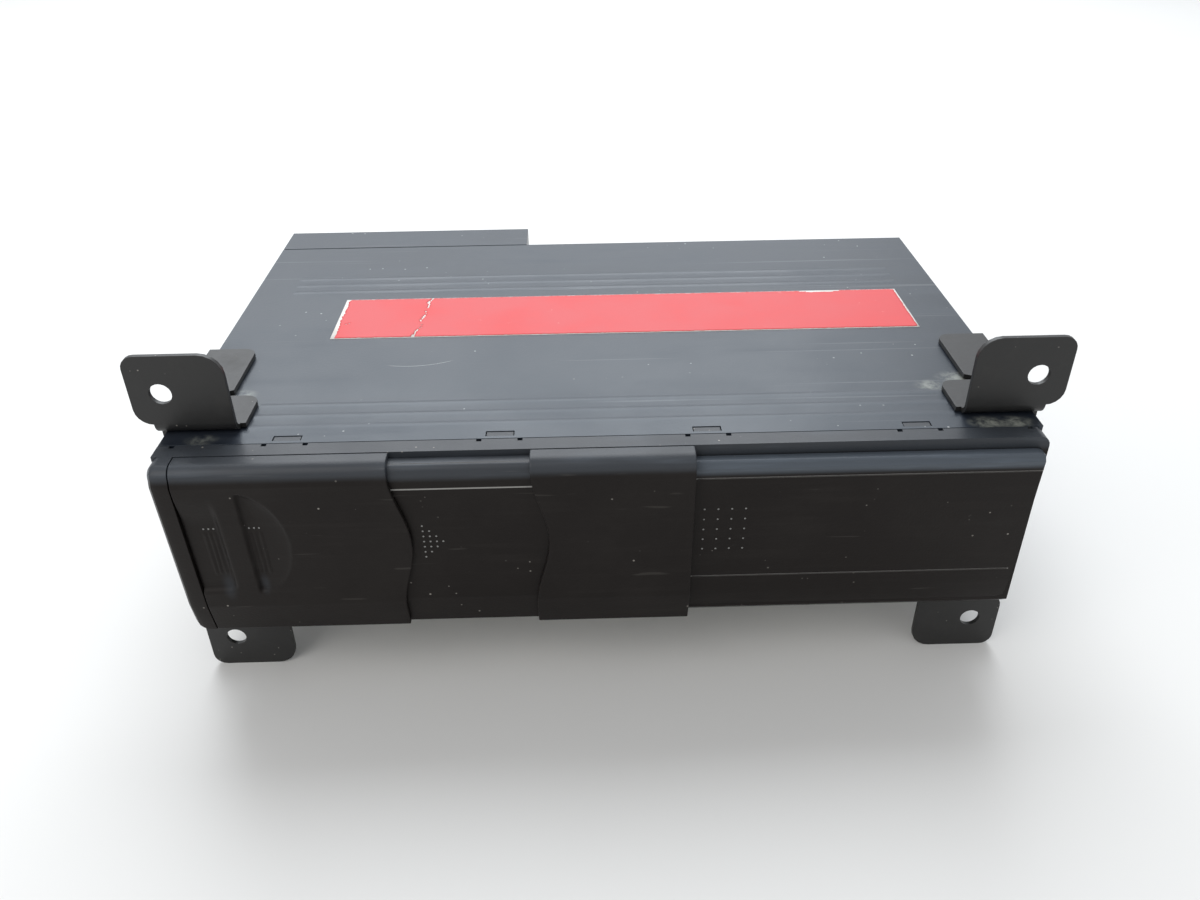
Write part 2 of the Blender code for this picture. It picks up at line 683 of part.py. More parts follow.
def side_screws(name, places, height, radius, head_radius, head, seat, tip):
    """Pan-head screws along X through both sides: the head stands on the seat, the tip is inside."""
    middles = [(CASE_Y + place, height, side) for place in places for side in (-1, 1)]
    for count, (y, z, side) in enumerate(middles):
        shank = sorted((side * tip, side * (seat + head / 2)))
        screw = make(f"{name}_{count + 1}", rod("X", (y, z), radius, *shank), "dark_screw")
        add(screw, rod("X", (y, z), head_radius, *sorted((side * seat, side * (seat + head)))))
        slot_half = radius * SCREW_SLOT_SHARE
        low, high = sorted((side * (seat + head / 2), side * (seat + head + OVERRUN)))
        for along, up in ((radius, slot_half), (slot_half, radius)):
            cut(screw, block((low, y - along, z - up), (high, y + along, z + up)))


def build_case_screws():
    side_screws("case_screw", CASE_SCREW_DEPTHS, CASE_SCREW_Z, CASE_SCREW_RADIUS, CASE_SCREW_HEAD_RADIUS,
                CASE_SCREW_HEAD, SIDE_X + GAP, SIDE_X - CASE_SCREW_LENGTH)


def build_label():
    return make("red_label", block((LABEL_LEFT, CASE_Y + LABEL_FRONT, TOP_Z + GAP),
                                   (LABEL_RIGHT, CASE_Y + LABEL_REAR, TOP_Z + GAP + LABEL_THICK)),
                "label_red")


# Front: one profile, seen from the side, that every layer follows at its own depth
def face_back(height):
    """How far the face has gone back at a height."""
    brow, knee = TOP_Z - BROW_DROP, TOP_Z - FACE_DROP
    if height > knee:
        return FACE_LEAN * max(0, brow - height) / (brow - knee)
    return FACE_LEAN + SLANT_BACK * (knee - height) / (SLANT_DROP - FACE_DROP)


def front_profile(depth):
    """(y, z) points of a layer's outside, from the back of its top down to its lower end."""
    radius = max(EDGE_DROP - depth, EDGE_ROUND_LEAST)
    top = TOP_Z - depth
    face = FACE_Y + depth
    middle = (face + BROW_BACK + radius, top - radius)
    brow = TOP_Z - max(BROW_DROP, depth + radius + LINE_WIDTH)
    knee = TOP_Z - FACE_DROP
    end = TOP_Z - SLANT_DROP
    room = LEAF_BACK - face - FACE_LEAN
    if room < SLANT_BACK:
        end = knee - (knee - end) * room / SLANT_BACK
    heights = [brow + (knee - brow) * row / WAVE_ROWS for row in range(WAVE_ROWS)]
    heights += [knee + (end - knee) * row / SLANT_ROWS for row in range(SLANT_ROWS + 1)]
    return ([(LEAF_BACK, top)] + arc(middle, radius, 90, 180) +
            [(face + face_back(height), height) for height in heights])


def straight_edge(place):
    return lambda height: place


def wavy_edge(base):
    """A vertical edge that bulges to the right about the middle of the face."""
    def edge(height):
        drop = (TOP_Z - height - WAVE_MIDDLE_DROP) / WAVE_HALF
        return base + (WAVE_BULGE * (1 + math.cos(math.pi * drop)) / 2 if abs(drop) < 1 else 0)
    return edge


def layer(depth, wall, left_edge, right_edge):
    """A bent skin of one thickness that follows the front profile between two edges."""
    shape = bmesh.new()
    outer, inner = ([shape.verts.new((0, y, z)) for y, z in front_profile(inset_depth)]
                    for inset_depth in (depth, depth + wall))
    heights = {}
    for out_vert, in_vert in zip(outer, inner):
        heights[in_vert.co.to_tuple()] = out_vert.co.z
    strip = [shape.faces.new(corners) for corners in zip(outer, outer[1:], inner[1:], inner)]
    pushed = bmesh.ops.extrude_face_region(shape, geom=strip)
    moved = {item for item in pushed["geom"] if isinstance(item, bmesh.types.BMVert)}
    for vert in shape.verts:
        height = heights.get(vert.co.to_tuple(), vert.co.z)
        vert.co.x = (right_edge if vert in moved else left_edge)(height)
    bmesh.ops.recalc_face_normals(shape, faces=shape.faces)
    return shape


def end_piece(depth, inside, outside, back, edge_round):
    """A closed end of the front, at the full profile, with its outer edges rounded."""
    profile = front_profile(depth)
    outline = [(back, profile[0][1])] + profile[1:] + [(back, profile[-1][1])]
    shape = prism(outline, "X", inside, outside)
    rim = [edge for edge in shape.edges
           if all(abs(vert.co.x - outside) < GAP / 2 and vert.co.y < back - GAP for vert in edge.verts)]
    bmesh.ops.bevel(shape, geom=rim, offset=edge_round, segments=END_STEPS, affect="EDGES", profile=0.5,
                    material=-1)
    return shape


def corner_cut(outside, inside, low, high, radius, rear):
    """What lies outside a rounded corner, as a cutter along Y from the face to a place behind it."""
    side = 1 if outside > inside else -1
    up = 1 if high > low else -1
    middle = (outside - side * radius, high - up * radius)
    turn = [math.radians(90 * step / ARC_STEPS) for step in range(ARC_STEPS + 1)]
    curve = [(middle[0] + side * radius * math.cos(angle), middle[1] + up * radius * math.sin(angle))
             for angle in turn]
    outline = [(outside + side * OVERRUN, middle[1]), (outside + side * OVERRUN, high + up * OVERRUN),
               (middle[0], high + up * OVERRUN)] + curve[::-1]
    return prism(outline, "Y", FACE_Y - OVERRUN, rear)


BUTTON_RIGHT = BUTTON_LEFT + BUTTON_WIDTH
BUTTON_Z = BASE_Z + BUTTON_RISE
BUTTON_MIDDLE = (BUTTON_LEFT + BUTTON_WIDTH / 2, BUTTON_Z + BUTTON_HEIGHT / 2)
WALL_BACK = FLANGE_Y + FRONT_WALL


def build_front_frame():
    frame = make("front_frame", block((-SIDE_X, FLANGE_Y, BASE_Z), (SIDE_X, CASE_Y - GAP, TOP_Z)),
                 "front_plastic")
    cut(frame, block((-SIDE_X + RIM_WALL, WALL_BACK, BASE_Z + RIM_WALL),
                     (SIDE_X - RIM_WALL, CASE_Y + OVERRUN, TOP_Z - RIM_WALL)))
    cut(frame, block((MAGAZINE_LEFT - MOUTH_CLEARANCE, FLANGE_Y - OVERRUN, MAGAZINE_Z - MOUTH_CLEARANCE),
                     (MAGAZINE_RIGHT + MOUTH_CLEARANCE, WALL_BACK + OVERRUN,
                      MAGAZINE_TOP + MOUTH_CLEARANCE)))
    cut(frame, block((BUTTON_LEFT - GAP, FLANGE_Y - OVERRUN, BUTTON_Z - GAP),
                     (BUTTON_RIGHT + GAP, WALL_BACK + OVERRUN, BUTTON_Z + BUTTON_HEIGHT + GAP)))
    edge = [(FLANGE_Y - OVERRUN, BASE_Z - OVERRUN), (FLANGE_Y + FRAME_CHAMFER + OVERRUN, BASE_Z - OVERRUN),
            (FLANGE_Y - OVERRUN, BASE_Z + FRAME_CHAMFER + OVERRUN)]
    cut(frame, prism(edge, "X", -SIDE_X - OVERRUN, SIDE_X + OVERRUN))
    cut(frame, corner_cut(SIDE_X, 0, BASE_Z, TOP_Z, FRAME_ROUND, CASE_Y),
        corner_cut(SIDE_X, 0, TOP_Z, BASE_Z, FRAME_ROUND, CASE_Y))
    strip = make("strip", end_piece(0, STRIP_RIGHT, -SIDE_X, FLANGE_Y + GAP, STRIP_ROUND), "front_plastic")
    low = TOP_Z - SLANT_DROP
    cut(strip, corner_cut(-SIDE_X, 0, TOP_Z, low, FRONT_CORNER, FLANGE_Y + OVERRUN),
        corner_cut(-SIDE_X, 0, low, TOP_Z, STRIP_ROUND, FLANGE_Y + OVERRUN))
    add(frame, shape_of(strip))
    rail_top = TOP_Z - 2 * LEAF_STEP
    mouth_low = MAGAZINE_Z - MOUTH_CLEARANCE
    for low, high, reach in ((rail_top - RAIL_HEIGHT, rail_top, RAIL_DEPTH),
                             (mouth_low - RAIL_HEIGHT / 2, mouth_low, LOWER_RAIL_DEPTH)):
        add(frame, block((STRIP_RIGHT - GAP, LEAF_BACK - reach, low),
                         (BUTTON_LEFT - RIM_WALL, FLANGE_Y + GAP, high)))
    finger_top = TOP_Z - SHEET - GAP
    for place in SLOT_PLACES:
        half = FINGER_SPREAD - NOTCH_WIDTH
        tongue = block((place - half, CASE_Y - RIM_WALL, finger_top - FINGER_THICK),
                       (place + half, CASE_Y + FINGER_REACH, finger_top))
        hook = block((place - SLOT_LENGTH / 2 + GAP, CASE_Y + SLOT_SETBACK + GAP, finger_top - GAP),
                     (place + SLOT_LENGTH / 2 - GAP, CASE_Y + SLOT_SETBACK + SLOT_WIDTH - GAP,
                      TOP_Z - HOOK_DROP))
        add(frame, tongue, hook)
    notch_places = [place + side * FINGER_SPREAD for place in SLOT_PLACES for side in (-1, 1)]
    notch_places += [-END_NOTCH, END_NOTCH]
    notches = [block((place - NOTCH_WIDTH / 2, CASE_Y - GAP - NOTCH_DEPTH, TOP_Z - NOTCH_DEPTH),
                     (place + NOTCH_WIDTH / 2, CASE_Y + OVERRUN, TOP_Z + OVERRUN))
               for place in notch_places]
    cut(frame, merged(notches))
    return frame


def line_cut(depth, left, right, drop):
    """A thin line along X, pressed into the face of the layer at a depth."""
    height = TOP_Z - drop
    return block((left, FACE_Y + depth - OVERRUN, height - LINE_WIDTH / 2),
                 (right, FACE_Y + depth + face_back(height) + LINE_DEPTH, height + LINE_WIDTH / 2))


def build_right_panel():
    depth = 2 * LEAF_STEP
    panel = make("right_panel", layer(depth, LEAF_WALL, straight_edge(PANEL_LEFT),
                                      straight_edge(SIDE_X - PANEL_END_WALL / 2)), "front_plastic")
    add(panel, end_piece(depth, SIDE_X - PANEL_END_WALL, SIDE_X, LEAF_BACK, PANEL_END_ROUND))
    profile = front_profile(depth)
    low, high = profile[-1][1], profile[0][1]
    cut(panel, corner_cut(SIDE_X, 0, high, low, FRONT_CORNER, FLANGE_Y + OVERRUN),
        corner_cut(SIDE_X, 0, low, high, FRONT_CORNER_UPPER, FLANGE_Y + OVERRUN))
    cut(panel, line_cut(depth, LINE_LEFT, UPPER_LINE_RIGHT, UPPER_LINE_DROP),
        line_cut(depth, LINE_LEFT, LOWER_LINE_RIGHT, LOWER_LINE_DROP))
    return panel


def scoop(outline, depth, shallow_share=1.0):
    """A grip cut into the leaning face, whose floor rises from its left side to its right."""
    shape = prism(outline, "Y", FACE_Y - OVERRUN, FACE_Y + depth)
    left = min(x for x, z in outline)
    right = max(x for x, z in outline)
    for vert in shape.verts:
        if vert.co.y > FACE_Y:
            across = (vert.co.x - left) / (right - left)
            vert.co.y = FACE_Y + face_back(vert.co.z) + depth * (1 + (shallow_share - 1) * across)
    return shape


def build_outer_door():
    door = make("outer_door", layer(0, LEAF_WALL, straight_edge(STRIP_RIGHT + GAP), wavy_edge(WAVE_BASE)),
                "front_plastic")
    low, high = TOP_Z - GRIP_BOTTOM_DROP, TOP_Z - GRIP_TOP_DROP
    left_grip = rounded(STRIP_RIGHT - OVERRUN, low, GRIP_BAR_LEFT, high, (0, GRIP_ROUND, GRIP_ROUND, 0))
    cut(door, scoop(left_grip, GRIP_DEPTH))
    middle = (low + high) / 2
    half = (high - low) / 2
    bow = [(GRIP_BAR_RIGHT + GRIP_D_REACH * math.cos(math.pi * step / GRIP_D_STEPS - math.pi / 2),
            middle + half * math.sin(math.pi * step / GRIP_D_STEPS - math.pi / 2))
           for step in range(GRIP_D_STEPS + 1)]
    cut(door, scoop(bow, GRIP_DEPTH, GAP / GRIP_DEPTH))
    return door


def build_inner_door():
    door = make("inner_door", layer(LEAF_STEP, LEAF_WALL, straight_edge(PLATE_LEFT),
                                    straight_edge(BAND_RIGHT)), "front_plastic")
    cut(door, line_cut(LEAF_STEP, PLATE_LEFT - OVERRUN, BAND_LEFT, UPPER_LINE_DROP))
    add(door, layer(0, BAND_WALL, wavy_edge(BAND_LEFT), straight_edge(BAND_RIGHT)))
    return door


# Brackets: each is drawn for the right side, and turned over for the left
BRACKET_X = SIDE_X + BRACKET_STANDOFF
BRACKET_Y = CASE_Y + BRACKET_FRONT
FOOT_Z = TOP_Z + BRACKET_STANDOFF
SOLE_Z = BASE_Z - BRACKET_STANDOFF


def foot_outline():
    front = BRACKET_Y + BRACKET_SHEET + BRACKET_BEND
    outer = BRACKET_X + BRACKET_SHEET
    break_y = CASE_Y + FOOT_BREAK
    rear = CASE_Y + FOOT_REAR
    prong = arc((FOOT_INNER + FOOT_ROUND, break_y - FOOT_ROUND), FOOT_ROUND, 180, 90)
    back = arc((FOOT_REAR_INNER + FOOT_ROUND, rear - FOOT_ROUND), FOOT_ROUND, 180, 90)
    return ([(outer, front), (outer, rear)] + back[::-1] +
            [(FOOT_REAR_INNER, break_y + FOOT_NOTCH), (FOOT_NOTCH_INNER, break_y + FOOT_NOTCH / 2),
             (FOOT_NOTCH_INNER, break_y)] + prong[::-1] + [(FOOT_INNER, front)])


def bend(inner, outer, foot_low, direction):
    """The folded corner between a foot and its ear, as a quarter ring along X."""
    top = foot_low + direction * (BRACKET_SHEET + BRACKET_BEND)
    middle = (BRACKET_Y + BRACKET_SHEET + BRACKET_BEND, top)
    end = 180 + 90 * direction
    outside = arc(middle, BRACKET_BEND + BRACKET_SHEET, 180, end)
    inside = arc(middle, BRACKET_BEND, 180, end)
    return prism(outside + inside[::-1], "X", inner, outer)


def build_bracket(name, side):
    low, high = sorted((FOOT_Z, FOOT_Z + BRACKET_SHEET))
    bracket = make(name, prism(foot_outline(), "Z", low, high), "bracket_coat")
    add(bracket, prism(foot_outline(), "Z", SOLE_Z - BRACKET_SHEET, SOLE_Z))
    front = BRACKET_Y + BRACKET_SHEET + BRACKET_BEND
    add(bracket, block((BRACKET_X, front, SOLE_Z - BRACKET_SHEET),
                       (BRACKET_X + BRACKET_SHEET, CASE_Y + FOOT_REAR, FOOT_Z + BRACKET_SHEET)))
    ears = ((FOOT_Z, 1, UPPER_EAR_INNER, UPPER_EAR_OUTER, TOP_Z + TAB_RISE, UPPER_HOLE_PLACE),
            (SOLE_Z, -1, LOWER_EAR_INNER, LOWER_EAR_OUTER, BASE_Z - TAB_RISE, LOWER_HOLE_PLACE))
    for foot, direction, inner, outer, end, hole in ears:
        side_edge = BRACKET_X + BRACKET_SHEET
        root = foot + direction * (BRACKET_SHEET + BRACKET_BEND)
        add(bracket, bend(inner, side_edge, foot, direction))
        flat_low, flat_high = sorted((root, end))
        corners = ((0, EAR_ROUND_ROOT, EAR_ROUND_OUTER, EAR_ROUND_INNER) if direction > 0 else
                   (EAR_ROUND_INNER, EAR_ROUND_OUTER, EAR_ROUND_ROOT, 0))
        ear = rounded(inner, flat_low, outer, flat_high, corners)
        add(bracket, prism(ear, "Y", BRACKET_Y, BRACKET_Y + BRACKET_SHEET))
        height = end - direction * HOLE_FROM_END
        cut(bracket, rod("Y", (hole, height), EAR_HOLE_RADIUS, BRACKET_Y - OVERRUN,
                         BRACKET_Y + BRACKET_SHEET + OVERRUN, ROUND_SIDES))
    for place in SIDE_SCREW_PLACES:
        cut(bracket, rod("X", (CASE_Y + place, SIDE_SCREW_Z), SIDE_SCREW_RADIUS + PLAY,
                         BRACKET_X - GAP, BRACKET_X + BRACKET_SHEET + OVERRUN))
    if side < 0:
        bracket.data.transform(Matrix.Diagonal((-1, 1, 1, 1)))
        bracket.data.flip_normals()
    return bracket


def build_bracket_screws():
    seat = BRACKET_X + BRACKET_SHEET + GAP
    tip = SIDE_X - SHEET - SIDE_BOSS_DEPTH
    side_screws("bracket_screw", SIDE_SCREW_PLACES, SIDE_SCREW_Z, SIDE_SCREW_RADIUS, SIDE_SCREW_HEAD_RADIUS,
                SIDE_SCREW_HEAD, seat, tip)


# Magazine
SHELF_LOW = MAGAZINE_Z - GAP - BAY_SHELF
LATCH_Z = BASE_Z + LATCH_RISE
LATCH_Y = WALL_BACK + STEM_REACH + GAP + LATCH_WIDTH / 2
HOOK_X = LATCH_LEFT + HOOK_SIDE / 2
HOOK_TOP = LATCH_Z + LATCH_THICK + HOOK_RISE


def hook_window(low, high):
    """Room for the latch's hook to swing forwards in."""
    margin = HOOK_WINDOW_MARGIN
    return block((LATCH_LEFT - margin, LATCH_Y - HOOK_SIDE / 2 - HOOK_TRAVEL, low - OVERRUN),
                 (LATCH_LEFT + HOOK_SIDE + 2 * margin, LATCH_Y + HOOK_SIDE / 2 + margin, high + OVERRUN))


def build_magazine_bay():
    left = MAGAZINE_LEFT - GAP - BAY_RAIL
    right = MAGAZINE_RIGHT + BAY_RAIL
    front, rear = CASE_Y + SHEET, MAGAZINE_REAR + GAP + BAY_RAIL
    bay = make("magazine_bay", block((left, front, SHELF_LOW), (right, rear, SHELF_LOW + BAY_SHELF)),
               "inner_plastic")
    rail_top = SHELF_LOW + BAY_RAIL_HEIGHT
    add(bay, block((left, front, SHELF_LOW), (left + BAY_RAIL, rear, rail_top)))
    add(bay, block((left, rear - BAY_RAIL, SHELF_LOW), (right, rear, rail_top)))
    leg = BAY_LEG_RADIUS
    left_leg, right_leg = left + leg, right - leg
    for place in ((left_leg, front + leg), (left_leg, rear - leg), (right_leg, rear - leg),
                  (LATCH_LEFT - 2 * leg, front + leg)):
        add(bay, rod("Z", place, leg, FLOOR_Z + GAP, SHELF_LOW + BAY_SHELF / 2))
    cut(bay, hook_window(SHELF_LOW, SHELF_LOW + BAY_SHELF))
    return bay


def build_magazine_shell():
    shell = make("magazine_shell", block((MAGAZINE_LEFT, MAGAZINE_FRONT, MAGAZINE_Z),
                                         (MAGAZINE_RIGHT, MAGAZINE_REAR, MAGAZINE_TOP)), "inner_plastic")
    inner_front, inner_rear = MAGAZINE_FRONT + MAGAZINE_WALL, MAGAZINE_REAR - MAGAZINE_WALL
    cut(shell, block((MAGAZINE_LEFT + MAGAZINE_WALL, inner_front, MAGAZINE_Z + MAGAZINE_WALL),
                     (MAGAZINE_RIGHT + OVERRUN, inner_rear, MAGAZINE_TOP - MAGAZINE_WALL)))
    ledges = []
    for count in range(1, DISC_COUNT):
        top = FIRST_TRAY_Z + count * TRAY_PITCH - GAP
        for wall, reach in ((inner_front, MAGAZINE_WALL), (inner_rear, -MAGAZINE_WALL)):
            front, rear = sorted((wall - reach / 2, wall + reach))
            ledges.append(block((MAGAZINE_LEFT + MAGAZINE_WALL / 2, front, top - TRAY_FLOOR),
                                (MAGAZINE_RIGHT - GAP, rear, top)))
    add(shell, merged(ledges))
    cut(shell, hook_window(MAGAZINE_Z, MAGAZINE_Z + MAGAZINE_WALL))
    return shell


def build_tray(count):
    low = FIRST_TRAY_Z + count * TRAY_PITCH
    left, front = STACK_X - TRAY_WIDTH / 2, STACK_Y - TRAY_DEPTH / 2
    middle = (STACK_X, STACK_Y)
    tray = make(f"disc_tray_{count + 1}", block((left, front, low),
                                                (left + TRAY_WIDTH, front + TRAY_DEPTH, low + TRAY_THICK)),
                "tray_plastic")
    cut(tray, rod("Z", middle, DISC_RADIUS + TRAY_RECESS_PLAY, low + TRAY_FLOOR, low + TRAY_THICK + OVERRUN,
                  DISC_SIDES))
    bow = arc(middle, TRAY_OPENING_RADIUS, 90, 270, SMALL_SIDES // 2)
    end = left + TRAY_WIDTH + OVERRUN
    opening = bow + [(end, STACK_Y - TRAY_OPENING_RADIUS), (end, STACK_Y + TRAY_OPENING_RADIUS)]
    cut(tray, prism(opening, "Z", low - OVERRUN, low + TRAY_THICK + OVERRUN))
    return tray


# Eject button and latch
STEM_END = WALL_BACK + STEM_REACH
STOP_Y = WALL_BACK + STOP_SETBACK


def build_eject_button():
    low, high = BUTTON_Z, BUTTON_Z + BUTTON_HEIGHT
    button = make("eject_button", block((BUTTON_LEFT, FLANGE_Y, low),
                                        (BUTTON_RIGHT, WALL_BACK + GAP + BUTTON_COLLAR, high)),
                  "front_plastic")
    collar = block((BUTTON_LEFT - BUTTON_COLLAR_LIP, WALL_BACK + GAP, low - BUTTON_COLLAR_LIP),
                   (BUTTON_RIGHT + BUTTON_COLLAR_LIP, WALL_BACK + GAP + BUTTON_COLLAR,
                    high + BUTTON_COLLAR_LIP))
    add(button, collar, rod("Y", BUTTON_MIDDLE, STEM_RADIUS, WALL_BACK, STEM_END))
    return button


def build_button_spring():
    """One unbroken wire, wound round the button's stem."""
    start = WALL_BACK + GAP + BUTTON_COLLAR + GAP + SPRING_WIRE
    end = STOP_Y - GAP - SPRING_WIRE
    curve = bpy.data.curves.new("button_spring", "CURVE")
    curve.dimensions = "3D"
    curve.bevel_depth = SPRING_WIRE
    curve.bevel_resolution = 1
    curve.use_fill_caps = True
    line = curve.splines.new("POLY")
    count = SPRING_TURNS * SPRING_STEPS
    line.points.add(count)
    for step in range(count + 1):
        angle = 2 * math.pi * step / SPRING_STEPS
        line.points[step].co = (BUTTON_MIDDLE[0] + SPRING_RADIUS * math.cos(angle),
                                start + (end - start) * step / count,
                                BUTTON_MIDDLE[1] + SPRING_RADIUS * math.sin(angle), 1)
    spring = bpy.data.objects.new("button_spring", curve)
    bpy.context.scene.collection.objects.link(spring)
    curve.materials.append(finish("zinc_steel"))
    return spring


def build_eject_latch():
    half = LATCH_WIDTH / 2
    latch = make("eject_latch", block((LATCH_LEFT, LATCH_Y - half, LATCH_Z),
                                      (LATCH_RIGHT, LATCH_Y + half, LATCH_Z + LATCH_THICK)), "zinc_steel")
    add(latch, rod("Z", (LATCH_PIVOT_X, LATCH_Y), LATCH_EYE_RADIUS, LATCH_Z, LATCH_Z + LATCH_THICK))
    side = HOOK_SIDE
    add(latch, block((LATCH_LEFT, LATCH_Y - side / 2, LATCH_Z + LATCH_THICK / 2),
                     (LATCH_LEFT + side, LATCH_Y + side / 2, HOOK_TOP)))
    cut(latch, rod("Z", (LATCH_PIVOT_X, LATCH_Y), LATCH_PIN_RADIUS + PLAY, LATCH_Z - OVERRUN,
                   LATCH_Z + LATCH_THICK + OVERRUN))
    return latch


def build_latch_pin():
    pin = make("latch_pin", rod("Z", (LATCH_PIVOT_X, LATCH_Y), LATCH_PIN_RADIUS, FLOOR_Z + GAP,
                                SHELF_LOW - GAP), "zinc_steel", smooth=True)
    add(pin, rod("Z", (LATCH_PIVOT_X, LATCH_Y), LATCH_COLLAR_RADIUS, FLOOR_Z + GAP, LATCH_Z - GAP))
    return pin


# Gears and racks share one tooth
def tooth_points(middle):
    """One tooth's corners as (distance beyond the pitch line, offset along it)."""
    heights = (-ROOT_DEPTH_SHARE * TOOTH_MODULE, 0, TIP_HEIGHT_SHARE * TOOTH_MODULE)
    sides = [(height, share * RACK_PITCH) for height, share in zip(heights, TOOTH_WIDTH_SHARES)]
    return ([(height, middle - half) for height, half in sides] +
            [(height, middle + half) for height, half in sides[::-1]])


def gear_outline(middle, teeth, first_angle):
    radius = teeth * TOOTH_MODULE / 2
    outline = []
    for count in range(teeth):
        angle = first_angle + 2 * math.pi * count / teeth
        for height, offset in tooth_points(0):
            turn = angle + offset / radius
            outline.append((middle[0] + (radius + height) * math.cos(turn),
                            middle[1] + (radius + height) * math.sin(turn)))
    return outline


def rack_outline(line, gap_at, first, back, along_y):
    """A row of teeth that point back towards the gear, from a strip that reaches to `back`."""
    points = [(back, gap_at + (first - 1) * RACK_PITCH)]
    for count in range(RACK_TEETH):
        middle = gap_at + (first + count - 1 / 2) * RACK_PITCH
        points += [(line - height, offset) for height, offset in tooth_points(middle)]
    points.append((back, gap_at + (first + RACK_TEETH - 1) * RACK_PITCH))
    return points if along_y else [(offset, across) for across, offset in points]


CORNER_GEAR = (CORNER_GEAR_X, CORNER_GEAR_Y)
MOTOR_AXIS = (MOTOR_X, MOTOR_Y)
GEAR_Z = CAM_Z
PLATE_Z = BASE_Z + MOTOR_PLATE_RISE


def build_corner_gear():
    gear = make("corner_gear", prism(gear_outline(CORNER_GEAR, CORNER_TEETH, 0), "Z", GEAR_Z,
                                     GEAR_Z + GEAR_THICK), "white_nylon")
    cut(gear, rod("Z", CORNER_GEAR, GEAR_AXLE_RADIUS + PLAY, GEAR_Z - OVERRUN,
                  GEAR_Z + GEAR_THICK + OVERRUN))
    return gear


def build_gear_axle():
    return make("gear_axle", rod("Z", CORNER_GEAR, GEAR_AXLE_RADIUS, FLOOR_Z + GAP,
                                 PLATE_Z + MOTOR_PLATE_SHEET), "zinc_steel", smooth=True)


def build_motor_pinion():
    first = math.pi / 4 + math.pi / MOTOR_TEETH
    pinion = make("motor_pinion", prism(gear_outline(MOTOR_AXIS, MOTOR_TEETH, first), "Z", GEAR_Z,
                                        GEAR_Z + GEAR_THICK), "brass")
    add(pinion, rod("Z", MOTOR_AXIS, LIFT_MOTOR_SHAFT_RADIUS, GEAR_Z, PLATE_Z + MOTOR_PLATE_SHEET))
    return pinion


def build_motor_plate():
    left, front, right, rear = MOTOR_PLATE_BOX
    plate = make("motor_plate", block((left, front, PLATE_Z), (right, rear, PLATE_Z + MOTOR_PLATE_SHEET)),
                 "zinc_steel")
    for place in MOTOR_LEG_PLACES:
        add(plate, rod("Z", place, MOTOR_LEG_RADIUS, FLOOR_Z + GAP, PLATE_Z + MOTOR_PLATE_SHEET / 2))
    cut(plate, rod("Z", CORNER_GEAR, GEAR_AXLE_RADIUS + PLAY, PLATE_Z - OVERRUN, PLATE_Z + OVERRUN),
        rod("Z", MOTOR_AXIS, LIFT_MOTOR_SHAFT_RADIUS + PLAY, PLATE_Z - OVERRUN, PLATE_Z + OVERRUN))
    return plate


def build_lift_motor():
    low = PLATE_Z + MOTOR_PLATE_SHEET + GAP
    radius, high = LIFT_MOTOR_RADIUS, low + LIFT_MOTOR_HEIGHT
    edge = LIFT_MOTOR_CHAMFER
    profile = [(0, high), (radius - edge, high), (radius, high - edge), (radius, low), (0, low)]
    return make("lift_motor", turned(profile, MOTOR_AXIS), "can_aluminium", smooth=True)


# Lift: the cam plates' slanted slots raise the frame by its pins
LIFT_TOP = LIFT_Z + LIFT_SHEET
CLAMP_Z = BASE_Z + CLAMP_RISE
CLAMP_PIN_Z = BASE_Z + CLAMP_PIN_RISE
PLAY_CENTRE = (PLAY_X, PLAY_Y)


def lift_outline():
    return [(LIFT_LEFT, LIFT_FRONT), (LIFT_RIGHT, LIFT_FRONT), (LIFT_RIGHT, LIFT_CORNER_Y),
            (LIFT_CORNER_X, LIFT_CORNER_Y), (LIFT_CORNER_X, LIFT_REAR), (LIFT_LEFT, LIFT_REAR)]


